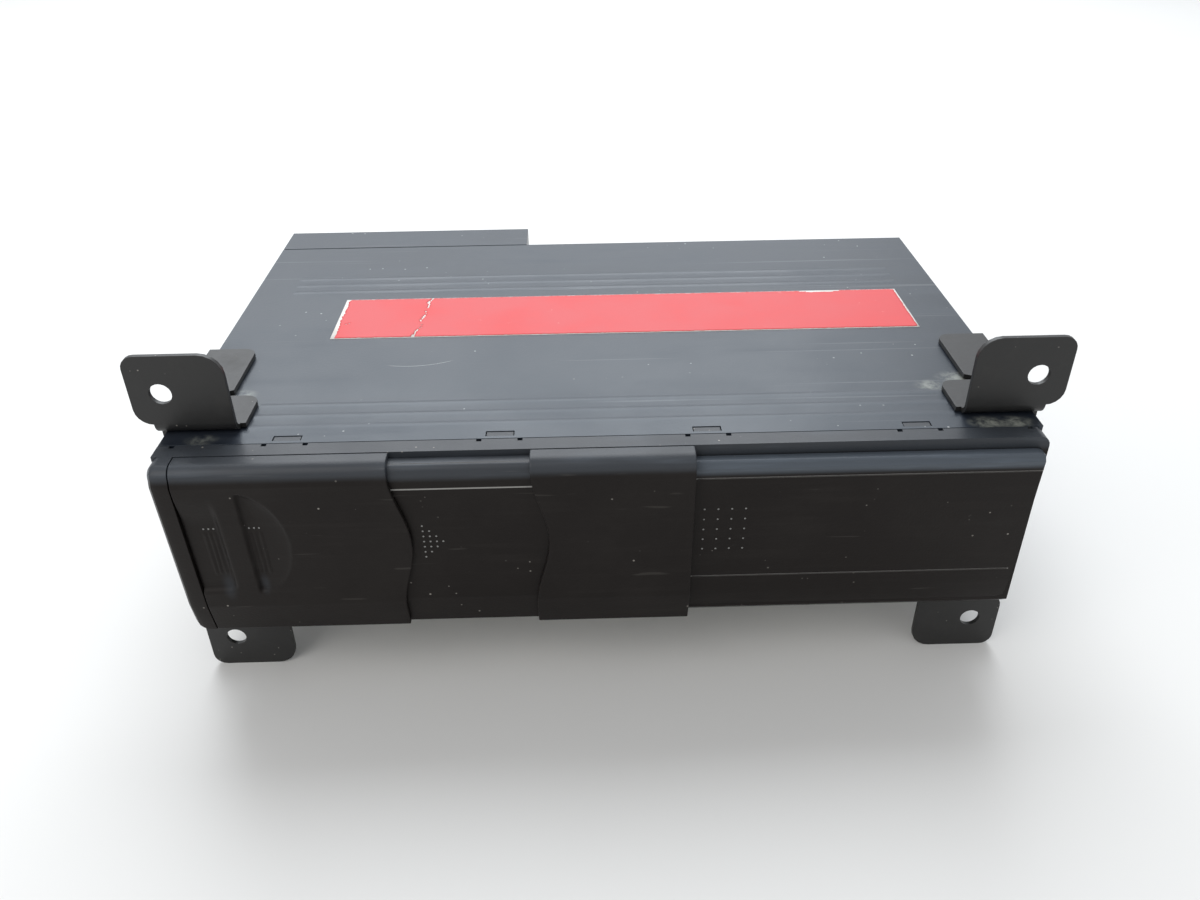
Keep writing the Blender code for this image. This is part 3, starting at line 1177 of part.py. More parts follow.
def build_lift_frame():
    frame = make("lift_frame", prism(lift_outline(), "Z", LIFT_Z, LIFT_TOP), "zinc_steel")
    cut(frame, prism(rectangle(*LIFT_OPENING), "Z", LIFT_Z - OVERRUN, LIFT_TOP + OVERRUN))
    top = LIFT_Z + LIFT_FLANGE_HEIGHT
    add(frame, block((LIFT_RIGHT - LIFT_SHEET, LIFT_FRONT, LIFT_Z), (LIFT_RIGHT, LIFT_CORNER_Y, top)))
    add(frame, block((LIFT_LEFT, LIFT_REAR - LIFT_SHEET, LIFT_Z), (LIFT_CORNER_X, LIFT_REAR, top)))
    ear_left = CLAMP_LEFT - GAP - CLAMP_EAR
    ear_right = CLAMP_RIGHT + GAP + CLAMP_EAR
    add(frame, block((ear_left, LIFT_REAR - LIFT_SHEET, LIFT_Z),
                     (ear_right, LIFT_REAR, BASE_Z + CLAMP_EAR_TOP)))
    ear_front = CLAMP_PIN_Y - CLAMP_BARREL_RADIUS - CLAMP_EAR_MARGIN
    ear_low = CLAMP_PIN_Z - CLAMP_BARREL_RADIUS - CLAMP_EAR_MARGIN
    for left in (ear_left, CLAMP_RIGHT + GAP):
        add(frame, block((left, ear_front, ear_low), (left + CLAMP_EAR, LIFT_REAR - LIFT_SHEET / 2,
                                                      BASE_Z + CLAMP_EAR_TOP)))
    for place in SIDE_PIN_PLACES:
        add(frame, rod("X", (place, PIN_Z), LIFT_PIN_RADIUS, LIFT_RIGHT - LIFT_SHEET / 2,
                       LIFT_RIGHT + LIFT_PIN_REACH))
    for place in REAR_PIN_PLACES:
        add(frame, rod("Y", (place, PIN_Z), LIFT_PIN_RADIUS, LIFT_REAR - LIFT_SHEET / 2,
                       LIFT_REAR + LIFT_PIN_REACH))
    hook_z = BASE_Z + HOOK_ARM_RISE
    add(frame, rod("Z", (HOOK_ARM_X, HOOK_ARM_Y), 2 * HOOK_ARM_PIN_RADIUS, LIFT_Z + LIFT_SHEET / 2,
                   hook_z - GAP))
    add(frame, rod("Z", (HOOK_ARM_X, HOOK_ARM_Y), HOOK_ARM_PIN_RADIUS, LIFT_Z, hook_z + HOOK_ARM_THICK))
    cut(frame, rod("X", (CLAMP_PIN_Y, CLAMP_PIN_Z), CLAMP_PIN_RADIUS + PLAY, ear_left - OVERRUN,
                   ear_right + OVERRUN))
    add(frame, *[rod("Z", place, BUSH_RADIUS, LIFT_Z + LIFT_SHEET / 2, LIFT_TOP + BUSH_HEIGHT)
                 for place in POST_PLACES])
    holes = [rod("Z", place, POST_RADIUS + PLAY, LIFT_Z - OVERRUN, LIFT_TOP + BUSH_HEIGHT + OVERRUN)
             for place in POST_PLACES]
    holes += [rod("Z", place, DECK_SCREW_RADIUS + PLAY, LIFT_Z - OVERRUN, LIFT_TOP + OVERRUN)
              for place in DAMPER_PLACES]
    cut(frame, merged(holes))
    return frame


def slot(start, end, radius):
    """A slanted slot with round ends, between two points."""
    lean = math.degrees(math.atan2(end[1] - start[1], end[0] - start[0]))
    return (arc(end, radius, lean - 90, lean + 90) + arc(start, radius, lean + 90, lean + 270))


def cam_shape(pins, way, axis, side, low):
    """A plate with one slanted slot for each pin. Returns it with its two ends along the case."""
    reach = way * CAM_TRAVEL
    ends = [pin + reach for pin in pins]
    first = min(list(pins) + ends) - CAM_MARGIN
    last = max(list(pins) + ends) + CAM_MARGIN
    top = PIN_Z + LIFT_TRAVEL + CAM_MARGIN
    plate = make("plate", prism(rectangle(first, low, last, top), axis, side, side + CAM_SHEET),
                 "zinc_steel")
    for pin, end in zip(pins, ends):
        hole = slot((pin, PIN_Z), (end, PIN_Z + LIFT_TRAVEL), LIFT_PIN_RADIUS + CAM_SLOT_PLAY)
        cut(plate, prism(hole, axis, side - OVERRUN, side + CAM_SHEET + OVERRUN))
    return plate, first, last


def build_side_cam():
    """Its rack and foot lie flat on the floor, and pass under the rear cam's arm."""
    side = LIFT_RIGHT + CAM_STANDOFF
    cam, first, last = cam_shape(SIDE_PIN_PLACES, -1, "X", side, CAM_Z)
    cam.name = "side_cam"
    back = side + CAM_SHEET
    rack_first = 2 - RACK_TEETH
    line = CORNER_GEAR_X + CORNER_RADIUS + GEAR_BACKLASH
    rack_start = CORNER_GEAR_Y + (rack_first - 1) * RACK_PITCH
    top = CAM_Z + CAM_FOOT_THICK
    add(cam, block((back - CAM_FOOT_WIDTH, last - 2 * CAM_MARGIN, CAM_Z), (back, rack_start + GAP, top)),
        prism(rack_outline(line, CORNER_GEAR_Y, rack_first, back, True), "Z", CAM_Z, top))
    return cam


def build_rear_cam():
    side = LIFT_REAR + CAM_STANDOFF
    cam, first, last = cam_shape(REAR_PIN_PLACES, 1, "Y", side, REAR_CAM_Z)
    cam.name = "rear_cam"
    line = CORNER_GEAR_Y + CORNER_RADIUS + GEAR_BACKLASH
    end = CORNER_GEAR_X + (RACK_TEETH - 1) * RACK_PITCH
    add(cam, block((last - CAM_MARGIN, side, REAR_CAM_Z), (end, side + CAM_SHEET, CAM_Z + CAM_ARM_HEIGHT)),
        prism(rack_outline(line, CORNER_GEAR_X, 0, side + CAM_SHEET / 2, False), "Z", REAR_CAM_Z,
              REAR_CAM_Z + CAM_FOOT_THICK))
    return cam


# Play deck
def deck_outline():
    return [(DECK_LEFT, DECK_FRONT), (DECK_RIGHT, DECK_FRONT), (DECK_RIGHT, DECK_CORNER_Y),
            (DECK_CORNER_X, DECK_CORNER_Y), (DECK_CORNER_X, DECK_REAR), (DECK_LEFT, DECK_REAR)]


def clip_spans():
    """Where the rods' clips stand, ahead of the sled's opening and behind it."""
    front = SLED_OPENING[1] - ROD_CLIP_LENGTH - ROD_CLIP_MARGIN
    rear = SLED_OPENING[3] + ROD_CLIP_MARGIN
    return (front, front + ROD_CLIP_LENGTH), (rear, rear + ROD_CLIP_LENGTH)


def build_play_deck():
    deck = make("play_deck", prism(deck_outline(), "Z", DECK_Z, DECK_TOP), "inner_plastic")
    cut(deck, prism(rectangle(*SLED_OPENING), "Z", DECK_Z - OVERRUN, DECK_TOP + OVERRUN))
    margin = SLED_MOTOR_RADIUS + SLED_MOTOR_WINDOW_MARGIN
    cut(deck, block((SCREW_X - margin, SLED_MOTOR_REAR - SLED_MOTOR_LENGTH - SLED_MOTOR_WINDOW_MARGIN,
                     DECK_Z - OVERRUN),
                    (SCREW_X + margin, SLED_MOTOR_REAR + SLED_MOTOR_WINDOW_MARGIN, DECK_TOP + OVERRUN)))
    front, rear = clip_spans()
    low = ROD_Z - ROD_RADIUS - PLAY - ROD_CLIP_WALL
    clips = [(place, span) for place in ROD_PLACES for span in (front, rear)] + [(SCREW_X, rear)]
    for place, span in clips:
        half = min(ROD_CLIP_HALF, (SCREW_X - ROD_PLACES[1]) / 2 - GAP)
        add(deck, block((place - half, span[0], low), (place + half, span[1], DECK_Z + DECK_SHEET / 2)))
    for place in (*ROD_PLACES, SCREW_X):
        start = SLED_OPENING[1] if place == SCREW_X else front[0] - OVERRUN
        cut(deck, rod("Y", (place, ROD_Z), ROD_RADIUS + PLAY, start, rear[1] + OVERRUN))
    holes = [rod("Z", place, DECK_SCREW_RADIUS + PLAY, DECK_Z - OVERRUN, DECK_TOP + OVERRUN)
             for place in DAMPER_PLACES]
    holes.append(rod("Z", PLAY_CENTRE, 2 * SPINDLE_RADIUS, DECK_Z - OVERRUN, DECK_TOP + OVERRUN))
    cut(deck, merged(holes))
    return deck


def ring(name, middle, radius, bore, low, high, kind, sides=SMALL_SIDES):
    """A node that is a round piece with a vertical hole through it."""
    node = make(name, rod("Z", middle, radius, low, high, sides), kind)
    cut(node, rod("Z", middle, bore, low - OVERRUN, high + OVERRUN))
    return node


def build_deck_dampers():
    return [ring(f"deck_damper_{count + 1}", place, DAMPER_RADIUS, DECK_SCREW_RADIUS + PLAY, LIFT_TOP + GAP,
                 DECK_Z - GAP, "rubber") for count, place in enumerate(DAMPER_PLACES)]


def build_deck_screws():
    seat = DECK_TOP + GAP
    screws = []
    for count, place in enumerate(DAMPER_PLACES):
        shank = rod("Z", place, DECK_SCREW_RADIUS, LIFT_Z, seat + DECK_SCREW_HEAD / 2)
        screw = make(f"deck_screw_{count + 1}", shank, "dark_screw")
        add(screw, rod("Z", place, DECK_SCREW_HEAD_RADIUS, seat, seat + DECK_SCREW_HEAD))
        screws.append(screw)
    return screws


def build_spindle_motor():
    high = DECK_Z - GAP
    return ring("spindle_motor", PLAY_CENTRE, SPINDLE_MOTOR_RADIUS, SPINDLE_RADIUS + PLAY,
                high - SPINDLE_MOTOR_HEIGHT, high, "can_aluminium", ROUND_SIDES)


def build_turntable():
    """The hub, the platter, its neck and the shaft down through the motor, in one turned piece."""
    top = DISC_Z - GAP
    low = top - TURNTABLE_THICK
    neck_low = DECK_TOP + GAP
    end = DECK_Z - GAP - SPINDLE_MOTOR_HEIGHT
    profile = [(0, top + HUB_HEIGHT), (HUB_RADIUS - HUB_CHAMFER, top + HUB_HEIGHT), (HUB_RADIUS, top),
               (TURNTABLE_RADIUS, top), (TURNTABLE_RADIUS, low), (TURNTABLE_NECK_RADIUS, low),
               (TURNTABLE_NECK_RADIUS, neck_low), (SPINDLE_RADIUS, neck_low),
               (SPINDLE_RADIUS, end), (0, end)]
    return make("turntable", turned(profile, PLAY_CENTRE), "inner_plastic", smooth=True)


def build_guide_rods():
    front, rear = clip_spans()
    return [make(f"guide_rod_{count + 1}", rod("Y", (place, ROD_Z), ROD_RADIUS, front[0], rear[1]),
                 "zinc_steel", smooth=True) for count, place in enumerate(ROD_PLACES)]


def build_sled_motor():
    return make("sled_motor", rod("Y", (SCREW_X, ROD_Z), SLED_MOTOR_RADIUS,
                                  SLED_MOTOR_REAR - SLED_MOTOR_LENGTH, SLED_MOTOR_REAR, ROUND_SIDES),
                "can_aluminium", smooth=True)


def build_lead_screw():
    rear = clip_spans()[1][1]
    return make("lead_screw", rod("Y", (SCREW_X, ROD_Z), ROD_RADIUS, SLED_MOTOR_REAR + GAP, rear),
                "zinc_steel", smooth=True)


def build_pickup_sled():
    low = BASE_Z + SLED_RISE
    rear = SLED_FRONT + SLED_LENGTH
    sled = make("pickup_sled", block((SLED_LEFT, SLED_FRONT, low), (SLED_RIGHT, rear, low + SLED_HEIGHT)),
                "inner_plastic")
    for place in (*ROD_PLACES, SCREW_X):
        cut(sled, rod("Y", (place, ROD_Z), ROD_RADIUS + PLAY, SLED_FRONT - OVERRUN, rear + OVERRUN))
    return sled


def build_pickup_lens():
    middle = (PLAY_X, SLED_FRONT + LENS_FROM_FRONT)
    low = BASE_Z + SLED_RISE + SLED_HEIGHT + GAP
    top = low + LENS_HEIGHT
    radius = LENS_RADIUS
    crown, fall = LENS_CROWN_SHARES
    profile = [(0, top), (radius * crown, top - LENS_HEIGHT * fall),
               (radius, low + LENS_HEIGHT * LENS_RIM_SHARE), (radius, low), (0, low)]
    return make("pickup_lens", turned(profile, middle), "lens_glass", smooth=True)


# Clamp and tray hook
def build_clamp_arm():
    outline = [(CLAMP_LEFT, CLAMP_PIN_Y), (CLAMP_LEFT, PLAY_Y), (PLAY_X - CLAMP_TIP_HALF, CLAMP_FRONT),
               (PLAY_X + CLAMP_TIP_HALF, CLAMP_FRONT), (CLAMP_RIGHT, PLAY_Y), (CLAMP_RIGHT, CLAMP_PIN_Y)]
    arm = make("clamp_arm", prism(outline, "Z", CLAMP_Z, CLAMP_Z + CLAMP_SHEET), "zinc_steel")
    add(arm, rod("X", (CLAMP_PIN_Y, CLAMP_PIN_Z), CLAMP_BARREL_RADIUS, CLAMP_LEFT, CLAMP_RIGHT))
    cut(arm, rod("X", (CLAMP_PIN_Y, CLAMP_PIN_Z), CLAMP_PIN_RADIUS + PLAY, CLAMP_LEFT - OVERRUN,
                 CLAMP_RIGHT + OVERRUN))
    cut(arm, rod("Z", PLAY_CENTRE, PUCK_STEM_RADIUS + PLAY, CLAMP_Z - OVERRUN,
                 CLAMP_Z + CLAMP_SHEET + OVERRUN))
    return arm


def build_clamp_pin():
    return make("clamp_pin", rod("X", (CLAMP_PIN_Y, CLAMP_PIN_Z), CLAMP_PIN_RADIUS,
                                 CLAMP_LEFT - GAP - CLAMP_EAR, CLAMP_RIGHT + GAP + CLAMP_EAR), "zinc_steel",
                smooth=True)


def build_clamp_puck():
    low = DISC_Z + DISC_THICK + 2 * GAP
    high = low + PUCK_THICK
    cap = CLAMP_Z + CLAMP_SHEET + GAP
    profile = [(0, cap + PUCK_CAP), (PUCK_CAP_RADIUS, cap + PUCK_CAP), (PUCK_CAP_RADIUS, cap),
               (PUCK_STEM_RADIUS, cap), (PUCK_STEM_RADIUS, high), (PUCK_RADIUS, high), (PUCK_RADIUS, low),
               (0, low)]
    return make("clamp_puck", turned(profile, PLAY_CENTRE), "white_nylon", smooth=True)


def build_tray_hook():
    low = BASE_Z + HOOK_ARM_RISE
    high = low + HOOK_ARM_THICK
    tip = HOOK_ARM_Y - HOOK_ARM_LENGTH
    half = HOOK_ARM_HALF
    hook = make("tray_hook", block((HOOK_ARM_X - half, tip, low), (HOOK_ARM_X + half, HOOK_ARM_Y, high)),
                "zinc_steel")
    add(hook, block((HOOK_ARM_X - 2 * half, tip, low), (HOOK_ARM_X, tip + half, high)))
    add(hook, rod("Z", (HOOK_ARM_X, HOOK_ARM_Y), 2 * half, low, high))
    cut(hook, rod("Z", (HOOK_ARM_X, HOOK_ARM_Y), HOOK_ARM_PIN_RADIUS + PLAY, low - OVERRUN, high + OVERRUN))
    return hook


# Electronics
BOARD_Z = BASE_Z + BOARD_RISE
BOARD_TOP = BOARD_Z + BOARD_THICK


def on_board(shares):
    left, front, right, rear = BOARD_BOX
    return left + shares[0] * (right - left), front + shares[1] * (rear - front)


def board_corners():
    left, front, right, rear = BOARD_BOX
    edge = BOARD_POST_INSET
    return [(x, y) for x in (left + edge, right - edge) for y in (front + edge, rear - edge)]


def chip(shares, low):
    return block((*on_board(shares[:2]), low), (*on_board(shares[2:]), BOARD_TOP + GAP + CHIP_HEIGHT))


def build_main_board():
    """The board, with its small chips and capacitors soldered on."""
    left, front, right, rear = BOARD_BOX
    board = make("main_board", block((left, front, BOARD_Z), (right, rear, BOARD_TOP)), "board_green")
    low = BOARD_Z + BOARD_THICK / 2
    add(board, *[chip(shares, low) for shares in SMALL_CHIP_SHARES])
    add(board, *[rod("Z", on_board(share), CAPACITOR_RADIUS, low, BOARD_TOP + CAPACITOR_HEIGHT)
                 for share in CAPACITOR_SHARES])
    return board


def build_processor_chip():
    return make("processor_chip", chip(PROCESSOR_SHARES, BOARD_TOP + GAP), "chip_black")


SOCKET_LOW = BOARD_TOP + GAP
SOCKET_RIGHT = SOCKET_LEFT + SOCKET_WIDTH


def build_rear_socket():
    wall = SOCKET_WALL
    high = SOCKET_LOW + SOCKET_HEIGHT
    socket = make("rear_socket", block((SOCKET_LEFT, BAY_Y - SOCKET_DEPTH, SOCKET_LOW),
                                       (SOCKET_RIGHT, BAY_Y, high)), "inner_plastic")
    cut(socket, block((SOCKET_LEFT + wall, BAY_Y - SOCKET_HOLLOW, SOCKET_LOW + wall),
                      (SOCKET_RIGHT - wall, BAY_Y + OVERRUN, high - wall)))
    return socket


def build_socket_contacts():
    across = SOCKET_WIDTH - 2 * SOCKET_WALL
    up = SOCKET_HEIGHT - 2 * SOCKET_WALL
    columns = SOCKET_PIN_COUNT // 2
    start = BAY_Y - SOCKET_HOLLOW + GAP
    wall = SOCKET_WALL + GAP
    contacts = make("socket_contacts", block((SOCKET_LEFT + wall, start, SOCKET_LOW + wall),
                                             (SOCKET_RIGHT - wall, start + CONTACT_BASE,
                                              SOCKET_LOW + SOCKET_HEIGHT - wall)), "brass")
    for column in range(columns):
        for row in SOCKET_ROW_SHARES:
            place = (SOCKET_LEFT + SOCKET_WALL + across * (column + 1) / (columns + 1),
                     SOCKET_LOW + SOCKET_WALL + up * row)
            add(contacts, rod("Y", place, SOCKET_PIN_RADIUS, start, start + SOCKET_PIN_LENGTH))
    return contacts


def build_all():
    for old in list(bpy.data.objects):
        bpy.data.objects.remove(old)
    build_top_cover()
    build_chassis_pan()
    build_case_screws()
    build_label()
    build_front_frame()
    build_right_panel()
    outer_door = build_outer_door()
    inner_door = build_inner_door()
    build_bracket("bracket_right", 1)
    build_bracket("bracket_left", -1)
    build_bracket_screws()
    build_magazine_bay()
    build_magazine_shell()
    for count in range(DISC_COUNT):
        build_tray(count)
    button, spring = build_eject_button(), build_button_spring()
    latch = build_eject_latch()
    build_latch_pin()
    gear = build_corner_gear()
    build_gear_axle()
    pinion = build_motor_pinion()
    build_motor_plate()
    build_lift_motor()
    side_cam, rear_cam = build_side_cam(), build_rear_cam()
    lifted = [build_lift_frame(), build_play_deck(), build_spindle_motor(), build_sled_motor(),
              build_clamp_pin(), *build_deck_dampers(), *build_deck_screws(), *build_guide_rods()]
    spinning = [build_turntable()]
    screw = build_lead_screw()
    sled = [build_pickup_sled(), build_pickup_lens()]
    arm, puck, hook = build_clamp_arm(), build_clamp_puck(), build_tray_hook()
    build_main_board()
    build_processor_chip()
    build_rear_socket()
    build_socket_contacts()

    middle_z = (BASE_Z + TOP_Z) / 2
    carry("inner_door_slide", (BAND_RIGHT, FACE_Y, middle_z), [inner_door])
    carry("outer_door_slide", (WAVE_BASE, FACE_Y, middle_z), [outer_door])
    carry("eject_button_push", (BUTTON_MIDDLE[0], FLANGE_Y, BUTTON_MIDDLE[1]), [button, spring])
    carry("eject_latch_turn", (LATCH_PIVOT_X, LATCH_Y, LATCH_Z), [latch])
    carry("deck_lift", (*PLAY_CENTRE, LIFT_Z), lifted)
    carry("side_cam_slide", (LIFT_RIGHT + CAM_STANDOFF, CORNER_GEAR_Y, CAM_Z), [side_cam])
    carry("rear_cam_slide", (CORNER_GEAR_X, LIFT_REAR + CAM_STANDOFF, CAM_Z), [rear_cam])
    carry("corner_gear_turn", (*CORNER_GEAR, GEAR_Z), [gear])
    carry("motor_pinion_turn", (*MOTOR_AXIS, GEAR_Z), [pinion])
    carry("turntable_spin", (*PLAY_CENTRE, DECK_TOP), spinning)
    carry("sled_slide", (PLAY_X, SLED_FRONT, ROD_Z), sled)
    carry("lead_screw_turn", (SCREW_X, SLED_MOTOR_REAR, ROD_Z), [screw])
    carry("clamp_arm_turn", (PLAY_X, CLAMP_PIN_Y, CLAMP_PIN_Z), [arm])
    carry("clamp_puck_spin", (*PLAY_CENTRE, CLAMP_Z), [puck])
    carry("tray_hook_turn", (HOOK_ARM_X, HOOK_ARM_Y, BASE_Z + HOOK_ARM_RISE), [hook])


build_all()
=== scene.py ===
import json
import math
import bmesh
import bpy
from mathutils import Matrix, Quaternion, Vector, noise


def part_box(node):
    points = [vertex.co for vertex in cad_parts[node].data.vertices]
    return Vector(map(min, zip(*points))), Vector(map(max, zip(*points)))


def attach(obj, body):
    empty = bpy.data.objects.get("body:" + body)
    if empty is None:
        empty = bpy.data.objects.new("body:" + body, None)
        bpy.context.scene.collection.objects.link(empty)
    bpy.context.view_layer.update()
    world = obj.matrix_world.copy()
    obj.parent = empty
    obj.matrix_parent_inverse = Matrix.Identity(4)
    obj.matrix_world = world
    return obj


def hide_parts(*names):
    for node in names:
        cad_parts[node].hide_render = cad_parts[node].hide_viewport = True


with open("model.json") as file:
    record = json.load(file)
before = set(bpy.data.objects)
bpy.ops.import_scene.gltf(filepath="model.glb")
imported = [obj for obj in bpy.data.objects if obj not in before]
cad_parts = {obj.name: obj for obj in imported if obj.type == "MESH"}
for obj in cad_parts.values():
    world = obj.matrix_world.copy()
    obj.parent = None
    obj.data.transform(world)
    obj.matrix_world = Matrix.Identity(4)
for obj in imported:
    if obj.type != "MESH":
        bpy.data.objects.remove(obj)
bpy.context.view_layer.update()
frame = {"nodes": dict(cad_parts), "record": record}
print("frame loaded")

beadRise = 0.00032        # how far the cover's beads stand over its flat
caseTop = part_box("top_cover")[1].z - beadRise
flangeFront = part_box("inner_door")[1].y
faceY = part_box("outer_door")[0].y

# Camera, solved from the case's edges in the photograph
camera = {
    "place": (-0.006047, -0.318378, 0.243058),
    "aim": (0.016873, 0.838244, -0.545035),
    "roll": -0.700,
    "lens": 29.75,
    "film": 36.0,
    "clipStart": 0.01,
}


def setCamera():
    data = bpy.data.cameras.new("photoCamera")
    data.lens = camera["lens"]
    data.sensor_width = camera["film"]
    data.clip_start = camera["clipStart"]
    holder = bpy.data.objects.new("photoCamera", data)
    turn = Vector(camera["aim"]).to_track_quat("-Z", "Y")
    roll = Quaternion((0, 0, 1), math.radians(camera["roll"]))
    holder.rotation_mode = "QUATERNION"
    holder.rotation_quaternion = turn @ roll
    holder.location = camera["place"]
    bpy.context.scene.collection.objects.link(holder)
    bpy.context.scene.camera = holder


# Shader building
class Signal:
    # one socket; an operator on it adds the matching Math node
    def __init__(self, finish, socket):
        self.finish = finish
        self.socket = socket

    def math(self, operation, *others):
        return self.finish.node("ShaderNodeMath", {"operation": operation},
                                dict(enumerate((self,) + others)))

    def __add__(self, other):
        return self.math("ADD", other)

    def __mul__(self, other):
        return self.math("MULTIPLY", other)

    def __sub__(self, other):
        return self.math("SUBTRACT", other)

    __radd__ = __add__
    __rmul__ = __mul__

    def away(self, other):
        return (self - other).math("ABSOLUTE")

    def step(self, low, high):
        # 0 below low and 1 above high, or the other way round where low is the larger
        return self.finish.node("ShaderNodeMapRange", {"interpolation_type": "SMOOTHSTEP"},
                                {"Value": self, "From Min": low, "From Max": high, "To Min": 0.0,
                                 "To Max": 1.0})


class Finish:
    # one material, its shader and the nodes that feed it
    def __init__(self, name, **constants):
        self.material = bpy.data.materials.new(name)
        self.material.use_nodes = True
        self.tree = self.material.node_tree
        self.shader = self.tree.nodes["Principled BSDF"]
        self.place = self.node("ShaderNodeTexCoord", output="Object")
        self.set(**constants)

    def feed(self, socket, value):
        if isinstance(value, Signal):
            self.tree.links.new(value.socket, socket)
        elif isinstance(value, (tuple, list)) and socket.type == "RGBA":
            socket.default_value = (*value, 1.0)
        else:
            socket.default_value = value

    def node(self, kind, settings=None, inputs=None, output=0):
        made = self.tree.nodes.new(kind)
        for key, value in (settings or {}).items():
            setattr(made, key, value)
        for key, value in (inputs or {}).items():
            self.feed(made.inputs[key], value)
        return Signal(self, made.outputs[output])

    def set(self, **values):
        for key, value in values.items():
            self.feed(self.shader.inputs[key.replace("_", " ")], value)

    def axis(self, letter):
        return self.node("ShaderNodeSeparateXYZ", None, {0: self.place}, letter)

    def stretched(self, scale, turn=0.0):
        return self.node("ShaderNodeMapping", None,
                         {"Vector": self.place, "Scale": scale,
                          "Rotation": (0, 0, math.radians(turn))})

    def noise(self, scale, detail, rough, place=None):
        return self.node("ShaderNodeTexNoise", None,
                         {"Vector": place or self.place, "Scale": scale, "Detail": detail,
                          "Roughness": rough})

    def patches(self, scale, detail, rough, start, full, place=None):
        # noise that is 0 below the level start and 1 above the level full
        return self.noise(scale, detail, rough, place).step(start, full)

    def specks(self, scale, size):
        # round specks, scattered one to a cell, each full within half its size
        gap = self.node("ShaderNodeTexVoronoi", None, {"Vector": self.place, "Scale": scale})
        return gap.step(size, size * 0.5)

    def flecks(self, scale, size, *patch):
        # specks that show only inside patches
        return self.specks(scale, size) * self.patches(*patch)

    def distance(self, point, squash):
        # distance from a point, with each axis weighed
        offset = self.node("ShaderNodeVectorMath", {"operation": "SUBTRACT"},
                           {0: self.place, 1: point})
        weighed = self.node("ShaderNodeVectorMath", {"operation": "MULTIPLY"},
                            {0: offset, 1: squash})
        return self.node("ShaderNodeVectorMath", {"operation": "LENGTH"}, {0: weighed}, "Value")

    def mix(self, factor, first, second):
        # inputs 6 and 7 are the node's two colours, and output 2 is the mixed one
        return self.node("ShaderNodeMix", {"data_type": "RGBA"}, {0: factor, 6: first, 7: second}, 2)

    def bump(self, height, distance):
        self.set(Normal=self.node("ShaderNodeBump", None, {"Height": height, "Distance": distance}))


# Stage
stage = {
    "floorSize": 6.0,
    "floorColor": (0.80, 0.79, 0.77),
    "floorShade": 0.94,       # the darker patches' share of that colour
    "floorPatches": (6.0, 3.0, 0.5, 0.3, 0.7),
    "floorPatchShare": 0.12,
    "floorRoughness": 0.6,
    "worldColor": (0.93, 0.96, 1.0),
    "worldFill": 0.55,
    "lamps": {
        # size, place, watts and colour; all aim at the part
        "skyLamp": (1.6, (-0.1, 1.1, 1.5), 34, (0.92, 0.96, 1.0)),
        "frontLamp": (1.2, (-0.9, -1.1, 1.3), 11, (1.0, 0.98, 0.95)),
    },
    "aim": (0.0, 0.0, 0.05),
}


def floorFinish():
    made = Finish("paleFloor", Roughness=stage["floorRoughness"])
    shade = [share * stage["floorShade"] for share in stage["floorColor"]]
    patches = made.patches(*stage["floorPatches"]) * stage["floorPatchShare"]
    made.set(Base_Color=made.mix(patches, stage["floorColor"], shade))
    return made.material


def setFloor():
    mesh = bmesh.new()
    bmesh.ops.create_grid(mesh, x_segments=1, y_segments=1, size=stage["floorSize"] / 2)
    floor = asObject("floor", mesh, floorFinish())


def setWorld():
    # the full sky is seen and mirrored, and a weaker one lights the rest
    world = bpy.data.worlds.new("studio")
    bpy.context.scene.world = world
    world.use_nodes = True
    tree = world.node_tree
    background = tree.nodes["Background"]
    background.inputs["Color"].default_value = (*stage["worldColor"], 1)
    rays = tree.nodes.new("ShaderNodeLightPath")
    seen = rays.outputs["Is Camera Ray"]
    for name in ("Is Glossy Ray", "Is Transmission Ray"):
        either = tree.nodes.new("ShaderNodeMath")
        either.operation = "MAXIMUM"
        tree.links.new(seen, either.inputs[0])
        tree.links.new(rays.outputs[name], either.inputs[1])
        seen = either.outputs[0]
    level = tree.nodes.new("ShaderNodeMapRange")
    level.inputs["To Min"].default_value = stage["worldFill"]
    level.inputs["To Max"].default_value = 1.0
    tree.links.new(seen, level.inputs["Value"])
    tree.links.new(level.outputs["Result"], background.inputs["Strength"])


def setLamps():
    for name, (size, place, watts, color) in stage["lamps"].items():
        lamp = bpy.data.lights.new(name, "AREA")
        lamp.size = size
        lamp.energy = watts
        lamp.color = color
        holder = bpy.data.objects.new(name, lamp)
        holder.location = place
        toPart = Vector(stage["aim"]) - Vector(place)
        holder.rotation_euler = toPart.to_track_quat("-Z", "Y").to_euler()
        bpy.context.scene.collection.objects.link(holder)


# Meshes
def asObject(name, mesh, material, sharpFrom=40):
    data = bpy.data.meshes.new(name)
    mesh.to_mesh(data)
    mesh.free()
    data.materials.append(material)
    data.shade_smooth()
    data.set_sharp_from_angle(angle=math.radians(sharpFrom))
    made = bpy.data.objects.new(name, data)
    bpy.context.scene.collection.objects.link(made)
    return made


def settle(made):
    # modifiers become mesh, so that vertices can be moved after them
    done = bpy.data.meshes.new_from_object(made.evaluated_get(bpy.context.evaluated_depsgraph_get()))
    made.modifiers.clear()
    made.data = done
    return made


def evenNormals(made):
    # flat faces keep their own normal, and the rounding takes the turn
    made.modifiers.new("normals", "WEIGHTED_NORMAL").keep_sharp = True
    return settle(made)


def smooth(value, low, high):
    # 0 at low and 1 at high, with an even turn at both
    share = min(1.0, max(0.0, (value - low) / (high - low)))
    return share * share * (3 - 2 * share)


rounding = {
    "weld": 1e-6,
    "flatWithin": 1,          # degrees between faces that are joined into one
    "hardFrom": 30,           # degrees from which an edge is rounded
    "sharpFrom": 50,
    "segments": 2,
}


